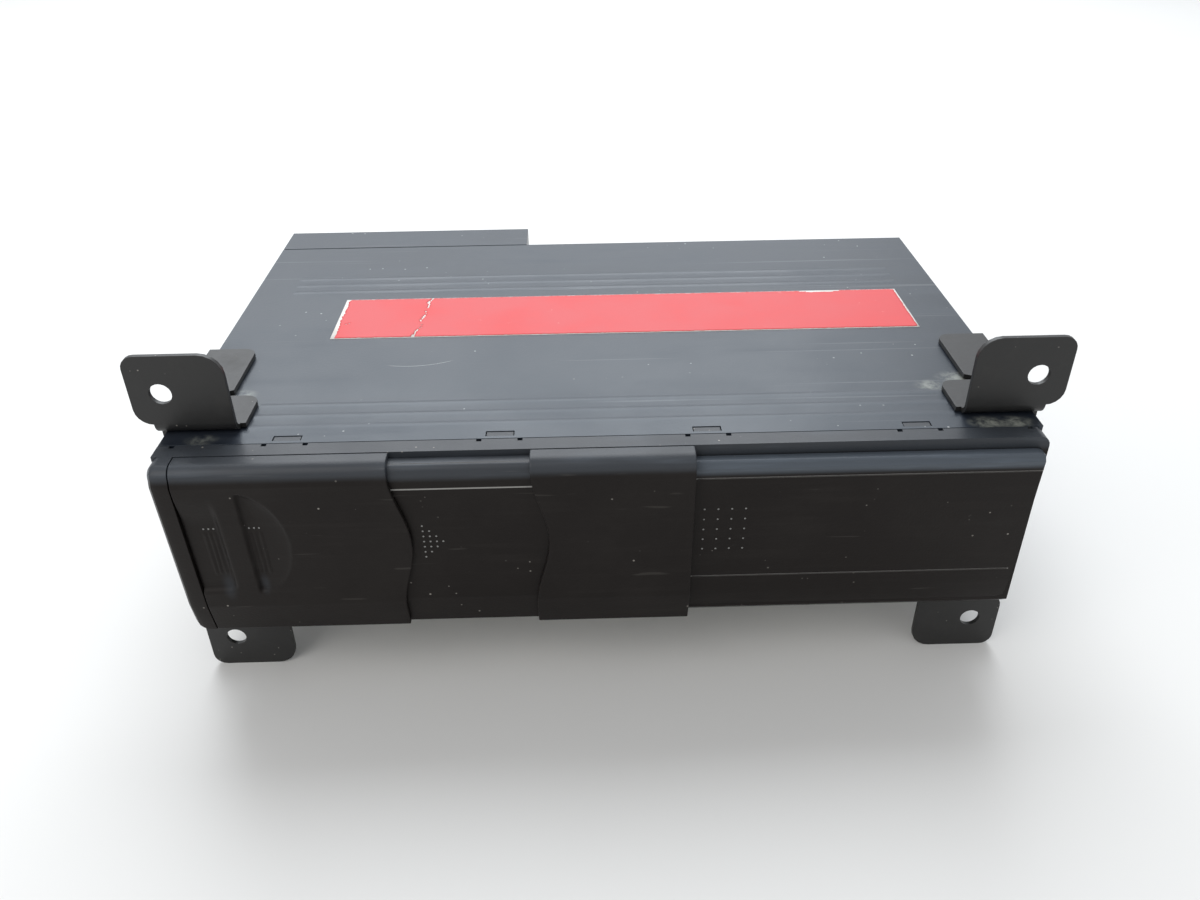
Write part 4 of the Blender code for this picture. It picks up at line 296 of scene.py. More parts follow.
def softened(node, name, material, width):
    # a copy of a CAD solid with its sharp edges rounded, which stands for the solid
    g = rounding
    mesh = bmesh.new()
    mesh.from_mesh(frame["nodes"][node].data)
    bmesh.ops.remove_doubles(mesh, verts=mesh.verts, dist=g["weld"])
    bmesh.ops.dissolve_limit(mesh, angle_limit=math.radians(g["flatWithin"]), verts=mesh.verts,
                             edges=mesh.edges)
    hard = [edge for edge in mesh.edges
            if len(edge.link_faces) == 2 and edge.calc_face_angle() > math.radians(g["hardFrom"])]
    bmesh.ops.bevel(mesh, geom=hard, offset=width, segments=g["segments"], affect="EDGES",
                    profile=0.5, material=-1, clamp_overlap=True)
    made = evenNormals(asObject(name, mesh, material, g["sharpFrom"]))
    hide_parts(node)
    return made


# Finishes. Patches are the scale, detail and roughness of their noise, then the levels where they
# start and are full. Flecks have their own scale and size first, then the patches they show in.
frontTint = {
    "dark": (0.0078, 0.0062, 0.0056),
    "dusty": (0.046, 0.042, 0.038),
    "fleck": (0.32, 0.30, 0.27),
    # painted highlight colour of the rounded top edges, and of the grips' lower ends
    "edge": (0.082, 0.098, 0.118),
    "sheen": (1.0, 0.95, 0.92),
    "cloud": (38.0, 4.0, 0.6, 0.42, 0.75),
    "cloudShare": 0.10,
    "brushed": (90.0, 3.0, 0.6, 0.5, 0.8),
    "brushedStretch": (0.25, 1.0, 3.5),
    "brushedShare": 0.10,
    "hairs": (70.0, 2.0, 0.5, 0.70, 0.75),
    "hairStretch": (0.5, 1.0, 6.0),
    "hairShare": 0.06,
    "flecks": (260.0, 0.10, 60.0, 2.0, 0.5, 0.50, 0.64),
    "fleckShare": 0.8,
    "edgeHighlightStart": 0.0050,      # drop where the painted highlight of the top edge ends, and where it is full
    "edgeHighlightFull": 0.0026,
    "edgeHighlightShare": 0.36,
    "edgeHighlightBrushed": 0.3,
    "edgeCoat": 0.22,
    "coatRoughness": 0.35,
    "ior": 1.45,
    "specular": 0.20,
    "roughness": 0.40,
    "cloudRoughness": 0.12,
    "brushedRoughness": 0.06,
    "grain": (1400.0, 2.0, 0.6),
    "grainDepth": 0.00004,
    # x, drop and reach of the painted highlights on the lower ends of the grips
    "grips": ((-0.1130, 0.0432, 0.0052), (-0.1022, 0.0425, 0.0040)),
    "gripHighlightSquash": (1.9, 0.3, 0.8),
    "gripHighlightShare": 0.22,
    # strength of the painted highlight on the right panel's top edge
    "panelHighlightLevel": 2.4,
}


def frontPlastic(name, drop=0.0, marks=None, highlightLevel=1.0):
    # drop is how far the layer lies behind the face, highlightLevel the strength of the painted
    # highlight on its top edge
    tint = frontTint
    made = Finish(name, IOR=tint["ior"], Specular_IOR_Level=tint["specular"],
                  Specular_Tint=tint["sheen"], Coat_Roughness=tint["coatRoughness"])
    cloud = made.patches(*tint["cloud"])
    brushed = made.patches(*tint["brushed"], made.stretched(tint["brushedStretch"]))
    hairs = made.patches(*tint["hairs"], made.stretched(tint["hairStretch"]))
    flecks = made.flecks(*tint["flecks"])
    level = caseTop - drop
    edge = made.axis("Z").step(level - tint["edgeHighlightStart"], level - tint["edgeHighlightFull"])
    dust = tint["cloudShare"] * cloud + tint["brushedShare"] * brushed
    color = made.mix(dust, tint["dark"], tint["dusty"])
    # painted highlight along the top edge, broken up by the brushed noise; sheen here is that painted
    # highlight
    sheen = edge * (brushed * tint["edgeHighlightBrushed"] + tint["edgeHighlightShare"]) * highlightLevel
    color = made.mix(sheen, color, tint["edge"])
    color = made.mix(hairs * tint["hairShare"], color, tint["fleck"])
    color = made.mix(flecks * tint["fleckShare"], color, tint["fleck"])
    if marks:
        color = marks(made, color)
    roughness = tint["roughness"] + cloud * tint["cloudRoughness"]
    made.set(Base_Color=color, Roughness=roughness + brushed * tint["brushedRoughness"],
             Coat_Weight=edge * tint["edgeCoat"])
    made.bump(made.noise(*tint["grain"]), tint["grainDepth"])
    return made.material


def gripHighlight(made, color):
    # painted highlights on the lower ends of the grips, in the top edges' highlight colour
    tint = frontTint
    for x, drop, reach in tint["grips"]:
        near = made.distance((x, faceY, caseTop - drop), tint["gripHighlightSquash"]).step(reach, 0.0)
        color = made.mix(near * tint["gripHighlightShare"], color, tint["edge"])
    return color


lineLightAndShade = {
    # drop and ends of the thin painted highlight lines, by layer
    "panel": ((0.0090, 0.0262, 0.1253), (0.0465, 0.0262, 0.1238)),
    "plate": ((0.0090, -0.0655, -0.0175),),
    # colour of the thin painted highlight lines
    "color": (0.42, 0.41, 0.39),
    "share": 0.65,
    "half": 0.00030,
    "core": 0.6,              # the part of the half width that has the full colour
    "endFade": 0.0004,
    # painted shade of a groove along the plate's top
    "grooveBack": 0.0032,     # from the flange's front
    "grooveHalf": 0.00022,
    "grooveCore": 0.5,
    "grooveHeights": (0.0885, 0.0889),
}


def paintLineLightAndShade(layer):
    g = lineLightAndShade

    def marks(made, color):
        x, z = made.axis("X"), made.axis("Z")
        for drop, start, end in g[layer]:
            near = z.away(caseTop - drop).step(g["half"], g["half"] * g["core"])
            within = x.step(start - g["endFade"], start) * x.step(end + g["endFade"], end)
            # a thin painted highlight line
            color = made.mix(near * within * g["share"], color, g["color"])
        if layer == "plate":
            across = made.axis("Y").away(flangeFront - g["grooveBack"])
            grooveShade = across.step(g["grooveHalf"], g["grooveHalf"] * g["grooveCore"])
            # painted shade of the groove, in the plastic's darkest colour
            color = made.mix(grooveShade * z.step(*g["grooveHeights"]), color, frontTint["dark"])
        return color
    return marks


coverTint = {
    "dark": (0.014, 0.018, 0.026),
    "pale": (0.027, 0.033, 0.043),
    # colour of the rubbed streaks, and of the painted highlight on the beads' tops
    "rubbedAndHighlight": (0.068, 0.076, 0.090),
    "scratch": (0.16, 0.17, 0.18),
    "fleck": (0.48, 0.49, 0.48),
    "dust": (0.30, 0.31, 0.27),
    "sheen": (0.86, 0.94, 1.0),
    "specular": 0.50,
    "cloud": (22.0, 5.0, 0.6, 0.35, 0.75),
    "cloudShare": 0.55,
    "rubs": (30.0, 4.0, 0.65, 0.48, 0.80),
    "rubStretch": (0.35, 4.0, 1.0),
    "rubShare": 0.35,
    "hairs": (60.0, 2.0, 0.5, 0.66, 0.72),
    "hairStretch": (0.12, 9.0, 1.0),
    "hairTurn": 6,
    "hairShare": 0.35,
    "flecks": (210.0, 0.09, 35.0, 3.0, 0.5, 0.50, 0.64),
    "fleckShare": 0.8,
    "grime": (240.0, 5.0, 0.7, 0.35, 0.65),
    # place on the cover, reach and strength of the dust there
    "dustSpots": (
        ((0.103, -0.052, 0.091), 0.007, 0.7),
        ((0.112, -0.047, 0.091), 0.008, 0.7),
        ((0.112, -0.0745, 0.091), 0.007, 0.9),
        ((0.120, -0.0745, 0.091), 0.007, 0.9),
        ((-0.112, -0.049, 0.091), 0.007, 0.7),
        ((-0.116, -0.0745, 0.091), 0.006, 0.5),
    ),
    "dustSquash": (1, 1.6, 0.2),
    "dustCore": 0.25,         # the part of the reach that has the full dust
    "beadHighlightLevels": (0.00018, 0.0003),    # over the flat, where the painted highlight on a bead's top starts and is full
    "beadHighlightShare": 0.15,
    "beadHighlightRubs": 0.7,
    "scratchCentre": (-0.062, -0.002, 0.091),
    "scratchRadius": 0.030,
    "scratchHalfWidth": 0.00012,
    "scratchStart": (-0.058, -0.0335, 0.091),
    "scratchReach": 0.012,
    "scratchCore": 0.7,
    "scratchSquash": (1, 1, 0),
    "roughness": 0.34,
    "cloudRoughness": 0.10,
    "rubRoughness": 0.12,
    "fleckRoughness": 0.2,
    "grain": (900.0, 3.0, 0.6),
    "waves": (14.0, 2.0, 0.5),
    "waveShare": 2.0,
    "grainDepth": 0.00003,
}


def curvedScratch(made):
    # part of a thin circle on the cover
    tint = coverTint
    ring = made.distance(tint["scratchCentre"], tint["scratchSquash"]).away(tint["scratchRadius"])
    reach = tint["scratchReach"]
    near = made.distance(tint["scratchStart"], tint["scratchSquash"])
    return ring.step(tint["scratchHalfWidth"], 0.0) * near.step(reach, reach * tint["scratchCore"])


def coverPaint():
    tint = coverTint
    made = Finish("coverPaint", Specular_IOR_Level=tint["specular"], Specular_Tint=tint["sheen"])
    cloud = made.patches(*tint["cloud"])
    rubs = made.patches(*tint["rubs"], made.stretched(tint["rubStretch"]))
    hairs = made.patches(*tint["hairs"], made.stretched(tint["hairStretch"], tint["hairTurn"]))
    flecks = made.flecks(*tint["flecks"])
    color = made.mix(cloud * tint["cloudShare"], tint["dark"], tint["pale"])
    color = made.mix(rubs * tint["rubShare"], color, tint["rubbedAndHighlight"])
    color = made.mix(hairs * tint["hairShare"], color, tint["scratch"])
    color = made.mix(flecks * tint["fleckShare"], color, tint["fleck"])
    grime = made.patches(*tint["grime"])
    for point, reach, amount in tint["dustSpots"]:
        near = made.distance(point, tint["dustSquash"]).step(reach, reach * tint["dustCore"])
        color = made.mix(near * grime * amount, color, tint["dust"])
    # painted highlight on the beads' tops, stronger where the rubs are
    start, full = tint["beadHighlightLevels"]
    beadHighlight = made.axis("Z").step(caseTop + start, caseTop + full)
    color = made.mix(beadHighlight * (tint["beadHighlightShare"] + rubs * tint["beadHighlightRubs"]), color, tint["rubbedAndHighlight"])
    color = made.mix(curvedScratch(made), color, tint["fleck"])
    roughness = tint["roughness"] + cloud * tint["cloudRoughness"] + rubs * tint["rubRoughness"]
    made.set(Base_Color=color, Roughness=roughness + flecks * tint["fleckRoughness"])
    made.bump(made.noise(*tint["grain"]) + made.noise(*tint["waves"]) * tint["waveShare"],
              tint["grainDepth"])
    return made.material


coatTint = {
    "dark": (0.012, 0.0115, 0.011),
    "smudged": (0.058, 0.055, 0.050),
    "fleck": (0.30, 0.28, 0.25),
    "specular": 0.45,
    "smudge": (70.0, 4.0, 0.65, 0.5, 0.8),
    "smudgeShare": 0.22,
    "flecks": (330.0, 0.10, 80.0, 2.0, 0.5, 0.5, 0.62),
    "fleckShare": 0.8,
    "roughness": 0.42,
    "smudgeRoughness": 0.15,
    "peel": (420.0, 3.0, 0.55),
    "peelDepth": 0.00006,
}


def powderCoat():
    tint = coatTint
    made = Finish("powderCoat", Specular_IOR_Level=tint["specular"])
    smudge = made.patches(*tint["smudge"])
    flecks = made.flecks(*tint["flecks"])
    color = made.mix(smudge * tint["smudgeShare"], tint["dark"], tint["smudged"])
    color = made.mix(flecks * tint["fleckShare"], color, tint["fleck"])
    made.set(Base_Color=color, Roughness=tint["roughness"] + smudge * tint["smudgeRoughness"])
    made.bump(made.noise(*tint["peel"]), tint["peelDepth"])
    return made.material


filmTint = {
    "red": (0.62, 0.045, 0.050),
    "faded": (0.72, 0.085, 0.085),
    "scuffed": (0.80, 0.42, 0.40),
    "specular": 0.4,
    "fading": (45.0, 4.0, 0.6, 0.35, 0.75),
    "fadingShare": 0.5,
    "scuffs": (160.0, 5.0, 0.7, 0.66, 0.74),
    "scuffShare": 0.35,
    "roughness": 0.42,
    "fadingRoughness": 0.15,
    "grain": (300.0, 3.0, 0.5),
    "grainDepth": 0.00004,
}


def labelFilm():
    tint = filmTint
    made = Finish("labelFilm", Specular_IOR_Level=tint["specular"])
    fading = made.patches(*tint["fading"])
    scuffs = made.patches(*tint["scuffs"])
    color = made.mix(fading * tint["fadingShare"], tint["red"], tint["faded"])
    color = made.mix(scuffs * tint["scuffShare"], color, tint["scuffed"])
    made.set(Base_Color=color, Roughness=tint["roughness"] + fading * tint["fadingRoughness"])
    made.bump(made.noise(*tint["grain"]), tint["grainDepth"])
    return made.material


paperTint = {
    "clean": (0.82, 0.80, 0.76),
    "stained": (0.62, 0.58, 0.52),
    "specular": 0.3,
    "stains": (120.0, 4.0, 0.5, 0.45, 0.7),
    "stainShare": 0.5,
    "fibre": (900.0, 4.0, 0.7),
    "fibreDepth": 0.00008,
    "roughness": 0.75,
    "fibreRoughness": 0.1,
}


def labelPaper():
    tint = paperTint
    made = Finish("labelPaper", Specular_IOR_Level=tint["specular"])
    fibre = made.noise(*tint["fibre"])
    stains = made.patches(*tint["stains"])
    made.set(Base_Color=made.mix(stains * tint["stainShare"], tint["clean"], tint["stained"]),
             Roughness=tint["roughness"] + fibre * tint["fibreRoughness"])
    made.bump(fibre, tint["fibreDepth"])
    return made.material


mouldedTint = {
    "cloud": (55.0, 4.0, 0.5, 0.3, 0.75),
    "cloudRoughness": 0.1,
    "grain": (1100.0, 2.0, 0.5),
}


def moulded(name, color, roughness, grainDepth=0.00005, spread=0.25):
    # plain moulded plastic or rubber, with a fine grain and slightly uneven colour
    tint = mouldedTint
    made = Finish(name)
    cloud = made.patches(*tint["cloud"])
    darker = [share * (1 - spread) for share in color]
    made.set(Base_Color=made.mix(cloud, color, darker),
             Roughness=roughness + cloud * tint["cloudRoughness"])
    made.bump(made.noise(*tint["grain"]), grainDepth)
    return made.material


platedTint = {
    "crystals": (150.0, 3.0, 0.6, 0.3, 0.7),
    "streaks": (500.0, 2.0, 0.6),
    "streakStretch": (0.1, 1.0, 1.0),
    "streakRoughness": 0.08,
    "streakDepth": 0.00002,
}


def plated(name, color, roughness, spangle=0.12):
    # plated, drawn or turned metal: a spangle in the colour and a fine grain
    tint = platedTint
    made = Finish(name, Metallic=1.0)
    crystals = made.patches(*tint["crystals"])
    streaks = made.noise(*tint["streaks"], made.stretched(tint["streakStretch"]))
    darker = [share * (1 - 2 * spangle) for share in color]
    made.set(Base_Color=made.mix(crystals, color, darker),
             Roughness=roughness + crystals * spangle + streaks * tint["streakRoughness"])
    made.bump(streaks, tint["streakDepth"])
    return made.material


boardTint = {
    "board": (0.012, 0.085, 0.035),
    "track": (0.03, 0.16, 0.07),
    "specular": 0.6,
    "offset": 0.5,
    "scale": 420.0,
    "trackWidth": 0.12,
    "trackFade": 0.1,
    "trackDepth": 0.00005,
    "roughness": 0.35,
    "trackRoughness": 0.1,
}


def solderMask():
    # green board, with slightly raised tracks where the texture has its mortar
    tint = boardTint
    made = Finish("solderMask", Specular_IOR_Level=tint["specular"])
    tracks = made.node("ShaderNodeTexBrick", {"offset": tint["offset"]},
                       {"Vector": made.place, "Scale": tint["scale"],
                        "Mortar Size": tint["trackWidth"], "Mortar Smooth": tint["trackFade"]}, "Fac")
    made.set(Base_Color=made.mix(tracks, tint["board"], tint["track"]),
             Roughness=tint["roughness"] + tracks * tint["trackRoughness"])
    made.bump(tracks, tint["trackDepth"])
    return made.material


lensTint = {
    "blue": (0.04, 0.06, 0.22),
    "violet": (0.07, 0.05, 0.25),
    "coat": 0.8,
    "coatRoughness": 0.03,
    "ior": 1.6,
    "tones": (300.0, 2.0, 0.5, 0.3, 0.7),
    "roughness": 0.06,
    "toneRoughness": 0.03,
}


def lensGlass():
    tint = lensTint
    made = Finish("lensGlass", Coat_Weight=tint["coat"], Coat_Roughness=tint["coatRoughness"],
                  IOR=tint["ior"])
    tones = made.patches(*tint["tones"])
    made.set(Base_Color=made.mix(tones, tint["blue"], tint["violet"]),
             Roughness=tint["roughness"] + tones * tint["toneRoughness"])
    return made.material


# Front: one profile seen from the side, followed by each layer at its own depth
front = {
    "topRadius": 0.0037,
    "browDrop": 0.0057,
    "browBack": 0.0006,
    "kneeDrop": 0.0510,
    "endDrop": 0.0620,
    "lean": 0.0022,           # how far the face goes back down to the knee
    "slantBack": 0.0022,      # and from there to its lower end
    "leastRadius": 0.0012,
    "arcSteps": 12,
    "rowPitch": 0.0005,
    "columnPitch": 0.0008,
    "leastColumns": 4,
    "wall": 0.0015,
    "step": 0.0018,           # from one layer's face to the next
    "rim": 0.00028,
    "rimSegments": 3,
    "rimFrom": 50,            # degrees from which an edge is rounded
    "waveBulge": 0.0045,
    "waveMiddleDrop": 0.028,
    "waveHalf": 0.0255,
}


def faceBack(height):
    # how far the face has gone back at a height
    drop = caseTop - height
    span = front["endDrop"] - front["kneeDrop"]
    if drop > front["kneeDrop"]:
        return front["lean"] + front["slantBack"] * (drop - front["kneeDrop"]) / span
    return front["lean"] * max(0.0, drop - front["browDrop"]) / (front["kneeDrop"] - front["browDrop"])


def frontProfile(depth):
    # (y, z) points from the back of the top, over the rounded edge, to the lower end
    radius = max(front["topRadius"] - depth, front["leastRadius"])
    top = caseTop - depth
    face = faceY + depth
    centre = (face + front["browBack"] + radius, top - radius)
    points = [(flangeFront, top), ((flangeFront + centre[0]) / 2, top)]
    for step in range(front["arcSteps"] + 1):
        angle = math.pi / 2 * (1 + step / front["arcSteps"])
        points.append((centre[0] + radius * math.cos(angle), centre[1] + radius * math.sin(angle)))
    brow = caseTop - front["browDrop"]
    end = caseTop - front["endDrop"]
    rows = round((brow - end) / front["rowPitch"])
    heights = [brow + (end - brow) * row / rows for row in range(rows + 1)]
    points += [(face + faceBack(height), height) for height in heights
               if face + faceBack(height) < flangeFront]
    return points


def straight(place):
    return lambda height: place


def wavy(base):
    # an edge with one round bulge to the right
    def edge(height):
        drop = (caseTop - height - front["waveMiddleDrop"]) / front["waveHalf"]
        if abs(drop) >= 1:
            return base
        return base + front["waveBulge"] * (1 + math.cos(math.pi * drop)) / 2
    return edge


def frontSheet(name, depth, left, right, wall, material, pitch):
    # the profile's edges pushed along X, column by column, then given a wall and rounded rims
    mesh = bmesh.new()
    points = [mesh.verts.new((left(z), y, z)) for y, z in frontProfile(depth)]
    edges = [mesh.edges.new(pair) for pair in zip(points, points[1:])]
    columns = max(front["leastColumns"], round((right(caseTop) - left(caseTop)) / pitch))
    for column in range(1, columns + 1):
        grown = bmesh.ops.extrude_edge_only(mesh, edges=edges)["geom"]
        edges = [item for item in grown if isinstance(item, bmesh.types.BMEdge)]
        for vert in [item for item in grown if isinstance(item, bmesh.types.BMVert)]:
            height = vert.co.z
            vert.co.x = left(height) + (right(height) - left(height)) * column / columns
    bmesh.ops.recalc_face_normals(mesh, faces=mesh.faces)
    if sum(face.normal.y for face in mesh.faces) > 0:
        bmesh.ops.reverse_faces(mesh, faces=mesh.faces)
    made = asObject(name, mesh, material)
    thick = made.modifiers.new("wall", "SOLIDIFY")
    thick.thickness = wall
    thick.offset = -1
    thick.use_even_offset = True
    rim = made.modifiers.new("rim", "BEVEL")
    rim.width = front["rim"]
    rim.segments = front["rimSegments"]
    rim.limit_method = "ANGLE"
    rim.angle_limit = math.radians(front["rimFrom"])
    return evenNormals(settle(made))


# Outer leaf, with its two grips
outerLeaf = {
    "left": -0.1211,
    "waveBase": -0.0611,
    "pitch": 0.0004,
    "gripLow": 0.0455,        # drop of the grips' lower and upper ends
    "gripHigh": 0.0085,
    "barLeft": -0.1100,       # the bar between the grips
    "barRight": -0.1042,
    "depth": 0.00125,
    "lip": 0.0007,
    "corner": 0.0030,
    "scoopLips": 3,           # the left grip's lip, in lips of the right one
    "scoopReach": 0.012,      # the left grip grows to its full depth over this, from its top down
    "bowReach": 0.0125,
    "leastBow": 1e-6,         # at the grip's ends, where its width comes to nothing
    "dishSteep": 1.5,
    "dishPower": 0.6,
    "ribCount": 3,
    "ribPitch": 0.00145,
    "ribHalf": 0.00022,
    "ribRise": 0.00030,
    "ribTopDrop": 0.0228,
    "ribTopFade": 0.0004,
    "ribEndDrop": 0.0385,
    "ribEndFade": 0.0006,
    "ribLeft": -0.11575,
    "ribRight": -0.10270,
    "dotDrop": 0.0212,
}


def gripDepth(x, z):
    # how far the face is pressed in at a point
    g = outerLeaf
    low, high = caseTop - g["gripLow"], caseTop - g["gripHigh"]
    middle, half = (low + high) / 2, (high - low) / 2
    if x < g["barLeft"]:
        inX, inZ = g["barLeft"] - x, z - low
        if inX < g["corner"] and inZ < g["corner"]:
            inside = g["corner"] - math.hypot(g["corner"] - inX, g["corner"] - inZ)
        else:
            inside = min(inX, inZ)
        scoop = smooth(high - z, 0.0, g["scoopReach"])
        return g["depth"] * smooth(inside, 0.0, g["scoopLips"] * g["lip"]) * scoop
    if x > g["barRight"]:
        up = (z - middle) / half
        if abs(up) >= 1:
            return 0.0
        bow = g["bowReach"] * math.sqrt(1 - up * up)
        across = (x - g["barRight"]) / max(bow, g["leastBow"])
        if across >= 1:
            return 0.0
        dish = min(1.0, g["dishSteep"] * (1 - across)) ** g["dishPower"]
        return g["depth"] * smooth(x - g["barRight"], 0.0, g["lip"]) * dish
    return 0.0


def ribRise(x, z):
    # how far the grips' ribs stand up at a point
    g = outerLeaf
    drop = caseTop - z
    top, end = g["ribTopDrop"], g["ribEndDrop"]
    along = smooth(drop, top - g["ribTopFade"], top + g["ribTopFade"])
    along *= smooth(drop, end + g["ribEndFade"], end - g["ribEndFade"])
    rise = 0.0
    for start in (g["ribLeft"], g["ribRight"]):
        for count in range(g["ribCount"]):
            off = abs(x - start - count * g["ribPitch"])
            rise = max(rise, (1 - smooth(off, 0, 2 * g["ribHalf"])) * along)
    return g["ribRise"] * rise


def buildOuterLeaf(material):
    g = outerLeaf
    leaf = frontSheet("outerLeaf", 0.0, straight(g["left"]), wavy(g["waveBase"]), front["wall"],
                      material, g["pitch"])
    for vert in leaf.data.vertices:
        x, y, z = vert.co
        if y < faceY + faceBack(z) + front["wall"] / 2:
            vert.co.y += max(0.0, gripDepth(x, z) - ribRise(x, z))
    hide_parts("outer_door")
    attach(leaf, "outer_door")


# Inner leaf: a plate and the raised band on it
innerLeaf = {
    "left": -0.066,
    "plateGap": 0.0005,       # from the plate's right end to the band's
    "bandLeft": -0.0211,
    "bandRight": 0.0255,
    "bandWall": 0.0021,
    "bandPitch": 0.0006,
}


def buildInnerLeaf(plateMaterial, bandMaterial):
    g = innerLeaf
    plate = frontSheet("innerPlate", front["step"], straight(g["left"]),
                       straight(g["bandRight"] - g["plateGap"]), front["wall"], plateMaterial,
                       front["columnPitch"])
    band = frontSheet("raisedBand", 0.0, wavy(g["bandLeft"]), straight(g["bandRight"]), g["bandWall"],
                      bandMaterial, g["bandPitch"])
    for piece in (plate, band):
        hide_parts("inner_door")
        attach(piece, "inner_door")


# Dots on the faces
dots = {
    "color": (0.24, 0.24, 0.23),
    "roughness": 0.5,
    "radius": 0.00030,
    "rise": 0.00014,
    "segments": 8,
    "rings": 6,
    "arrowColumns": (7, 5, 3, 1),
    "arrowPlace": (-0.0533, 0.0284),    # x of the first column, drop of the middle
    "arrowPitch": (0.00187, 0.00198),
    "gridPlace": (0.0289, 0.0202),
    "gridPitch": (0.00403, 0.00380),
    "gridCounts": (4, 5),
}


def dotCluster(name, places, face, body, material):
    mesh = bmesh.new()
    for x, z in places:
        ball = bmesh.ops.create_uvsphere(mesh, u_segments=dots["segments"], v_segments=dots["rings"],
                                         radius=dots["radius"])["verts"]
        for vert in ball:
            vert.co.y *= dots["rise"] / dots["radius"]
        bmesh.ops.translate(mesh, verts=ball, vec=(x, face + faceBack(z), z))
    made = asObject(name, mesh, material)
    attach(made, body)


def buildDots(material):
    g = dots
    arrow = []
    for column, count in enumerate(g["arrowColumns"]):
        for row in range(count):
            arrow.append((g["arrowPlace"][0] + column * g["arrowPitch"][0],
                          caseTop - g["arrowPlace"][1] + (row - (count - 1) / 2) * g["arrowPitch"][1]))
    dotCluster("arrowDots", arrow, faceY + front["step"], "inner_door", material)
    grid = [(g["gridPlace"][0] + column * g["gridPitch"][0],
             caseTop - g["gridPlace"][1] - row * g["gridPitch"][1])
            for column in range(g["gridCounts"][0]) for row in range(g["gridCounts"][1])]
    dotCluster("gridDots", grid, faceY + 2 * front["step"], "case", material)
    leaf = outerLeaf
    for name, start in (("leftGripDots", leaf["ribLeft"]), ("rightGripDots", leaf["ribRight"])):
        row = [(start + count * leaf["ribPitch"], caseTop - leaf["dotDrop"])
               for count in range(leaf["ribCount"])]
        dotCluster(name, row, faceY + gripDepth(*row[1]), "outer_door", material)


# Label: white paper with a torn red film on it
label = {
    "paperLift": 0.00002,
    "paperThick": 0.00010,
    "paperRows": 4,
    "filmThick": 0.00014,
    "filmWallShare": 0.95,    # leaves a hair of room over the paper
    "pitch": 0.0006,
    "edgeMargin": 0.0005,
    "tornLeft": 0.0008,
    "tornLevels": (-0.9, 0.5),
    "tornRough": 0.0010,
    "rightRough": 0.0004,
    "sideMargin": 0.00035,
    "sideRough": 0.00035,
    "crackPlace": 0.029,      # from the left end
    "crackWander": 0.0016,
    "crackSlant": 0.0025,
    "crackHalf": 0.00022,
    "crackLeast": 0.6,
    "crackRough": 2.2,
    "breakLevels": (-0.5, 0.2),
    "breakLeast": 0.3,
    "chipPlace": (0.1745, 0.0),
    "chipSize": (0.0085, 0.0016),
    "nickStretch": 1.7,
    "nickShift": 3,
    "nickScales": (240, 800),
    "nickLevel": 0.92,
    "nickReach": 0.05,
    # scale and seed of the noise along each torn edge
    "tears": {
        "leftWide": (90, 7.1),
        "leftFine": (700, 2.3),
        "rightFine": (400, 5.5),
        "sideFine": (500, 9.9),
        "crackLine": (110, 4.2),
        "crackBreaks": (260, 1.7),
        "crackWidth": (300, 8.8),
    },
    "slice": 0.3,             # third coordinate of that noise
    "fractal": (1.0, 2.0, 4),
}


def ragged(first, second):
    return noise.fractal(Vector((first, second, label["slice"])), *label["fractal"])


def torn(along, tear):
    scale, seed = label["tears"][tear]
    return ragged(along * scale, seed)


def filmLeft(y):
    # where the film's left end has torn to
    g = label
    wide = g["tornLeft"] * smooth(torn(y, "leftWide"), *g["tornLevels"])
    return g["edgeMargin"] + wide + g["tornRough"] * abs(torn(y, "leftFine"))


def filmGone(x, y, depth):
    # whether the film is missing at a point: in the crack, the chip or a nick
    g = label
    crack = g["crackPlace"] + g["crackWander"] * torn(y, "crackLine") + g["crackSlant"] * (y / depth)
    broken = smooth(torn(y, "crackBreaks"), *g["breakLevels"])
    half = g["crackHalf"] * (g["crackLeast"] + g["crackRough"] * abs(torn(y, "crackWidth")))
    if abs(x - crack) < half * (g["breakLeast"] + broken):
        return True
    chip = math.hypot((x - g["chipPlace"][0]) / g["chipSize"][0],
                      (depth - y - g["chipPlace"][1]) / g["chipSize"][1])
    scaleX, scaleY = g["nickScales"]
    nick = ragged((x * g["nickStretch"] + g["nickShift"]) * scaleX, y * scaleY) > g["nickLevel"]
    return chip < 1 or (nick and x < g["nickReach"])


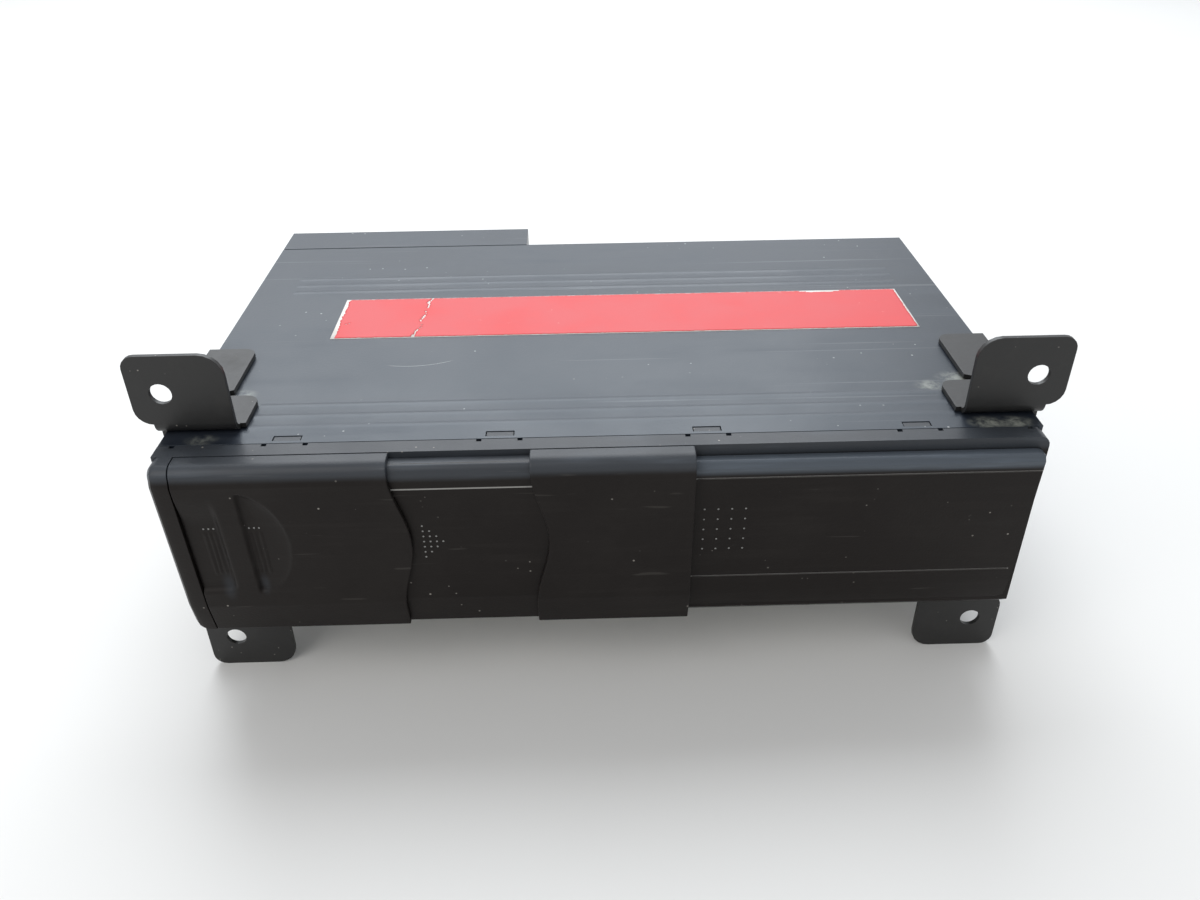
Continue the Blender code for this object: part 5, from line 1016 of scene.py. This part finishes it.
def buildLabel(filmMaterial, paperMaterial):
    g = label
    low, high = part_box("red_label")
    width, depth = high.x - low.x, high.y - low.y
    columns, rows = round(width / g["pitch"]), round(depth / g["pitch"])
    paperTop = caseTop + g["paperLift"] + g["paperThick"]
    paper = bmesh.new()
    bmesh.ops.create_grid(paper, x_segments=columns, y_segments=g["paperRows"], size=0.5)
    for vert in paper.verts:
        vert.co = (low.x + (vert.co.x + 0.5) * width, low.y + (vert.co.y + 0.5) * depth, paperTop)
    film = bmesh.new()
    bmesh.ops.create_grid(film, x_segments=columns, y_segments=rows, size=0.5)
    for vert in film.verts:
        y = (vert.co.y + 0.5) * depth
        start = filmLeft(y)
        end = width - g["edgeMargin"] - g["rightRough"] * abs(torn(y, "rightFine"))
        x = start + (vert.co.x + 0.5) * (end - start)
        side = g["sideMargin"] + g["sideRough"] * abs(torn(x, "sideFine"))
        y = side + y / depth * (depth - 2 * side)
        vert.co = (low.x + x, low.y + y, paperTop + g["filmThick"])
    gone = []
    for face in film.faces:
        middle = face.calc_center_median()
        if filmGone(middle.x - low.x, middle.y - low.y, depth):
            gone.append(face)
    bmesh.ops.delete(film, geom=gone, context="FACES")
    paperPiece = asObject("labelPaper", paper, paperMaterial)
    filmPiece = asObject("labelFilm", film, filmMaterial)
    filmWall = g["filmThick"] * g["filmWallShare"]
    for piece, thick in ((paperPiece, g["paperThick"]), (filmPiece, filmWall)):
        wall = piece.modifiers.new("wall", "SOLIDIFY")
        wall.thickness = thick
        wall.offset = -1
        settle(piece)
        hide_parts("red_label")
        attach(piece, "case")


# Everything together
setCamera()
setFloor()
setWorld()
setLamps()
bpy.context.scene.view_settings.view_transform = "Standard"
print("camera and stage set")

frontBlack = frontPlastic("frontBlack")
leafBlack = frontPlastic("leafBlack", 0.0, gripHighlight)
plateBlack = frontPlastic("plateBlack", front["step"], paintLineLightAndShade("plate"))
# the right panel's layer gets a stronger painted highlight on its top edge
panelBlack = frontPlastic("panelBlack", 2 * front["step"], paintLineLightAndShade("panel"),
                          frontTint["panelHighlightLevel"])
dotPaint = moulded("dotGrey", dots["color"], dots["roughness"])
coverFinish = coverPaint()
coat = powderCoat()
# plain finishes have a name, colour and roughness; the numbers after them are the grain's depth
# and the spread of a moulded one's colour, or the spangle of a plated one
slotFinishes = {
    "cover_paint": coverFinish,
    "front_plastic": frontBlack,
    "bracket_coat": coat,
    "label_red": labelFilm(),
    "zinc_steel": plated("zincSteel", (0.56, 0.56, 0.53), 0.30),
    "dark_screw": plated("blackScrew", (0.07, 0.07, 0.07), 0.35, 0.06),
    "inner_plastic": moulded("innerPlastic", (0.035, 0.035, 0.038), 0.45),
    "tray_plastic": moulded("trayPlastic", (0.10, 0.10, 0.11), 0.45),
    "white_nylon": moulded("whiteNylon", (0.72, 0.71, 0.66), 0.42, 0.00003, 0.08),
    "rubber": moulded("rubber", (0.025, 0.025, 0.025), 0.75, 0.00008),
    "brass": plated("brass", (0.72, 0.53, 0.24), 0.28),
    "lens_glass": lensGlass(),
    "board_green": solderMask(),
    "chip_black": moulded("chipBlack", (0.025, 0.025, 0.026), 0.5),
    "can_aluminium": plated("canAluminium", (0.70, 0.71, 0.72), 0.25, 0.06),
}
for subpart in frame["record"]["subparts"]:
    node = frame["nodes"][subpart["node"]]
    node.data.materials.clear()
    node.data.materials.append(slotFinishes[subpart["material_slot"]])
print("finishes made")

# name, finish, rounding of the edges and slot of each softened piece
casePieces = {
    "top_cover": ("topCover", coverFinish, 0.00035, "cover_paint"),
    "front_frame": ("frontFrame", frontBlack, 0.00025, "front_plastic"),
    "right_panel": ("rightPanel", panelBlack, 0.00022, "front_plastic"),
    "bracket_left": ("leftBracket", coat, 0.00030, "bracket_coat"),
    "bracket_right": ("rightBracket", coat, 0.00030, "bracket_coat"),
}
for node, (name, material, width, slot) in casePieces.items():
    piece = softened(node, name, material, width)
    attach(piece, "case")
print("case pieces made")

buildOuterLeaf(leafBlack)
buildInnerLeaf(plateBlack, frontBlack)
buildDots(dotPaint)
buildLabel(slotFinishes["label_red"], labelPaper())
print("front and label made")
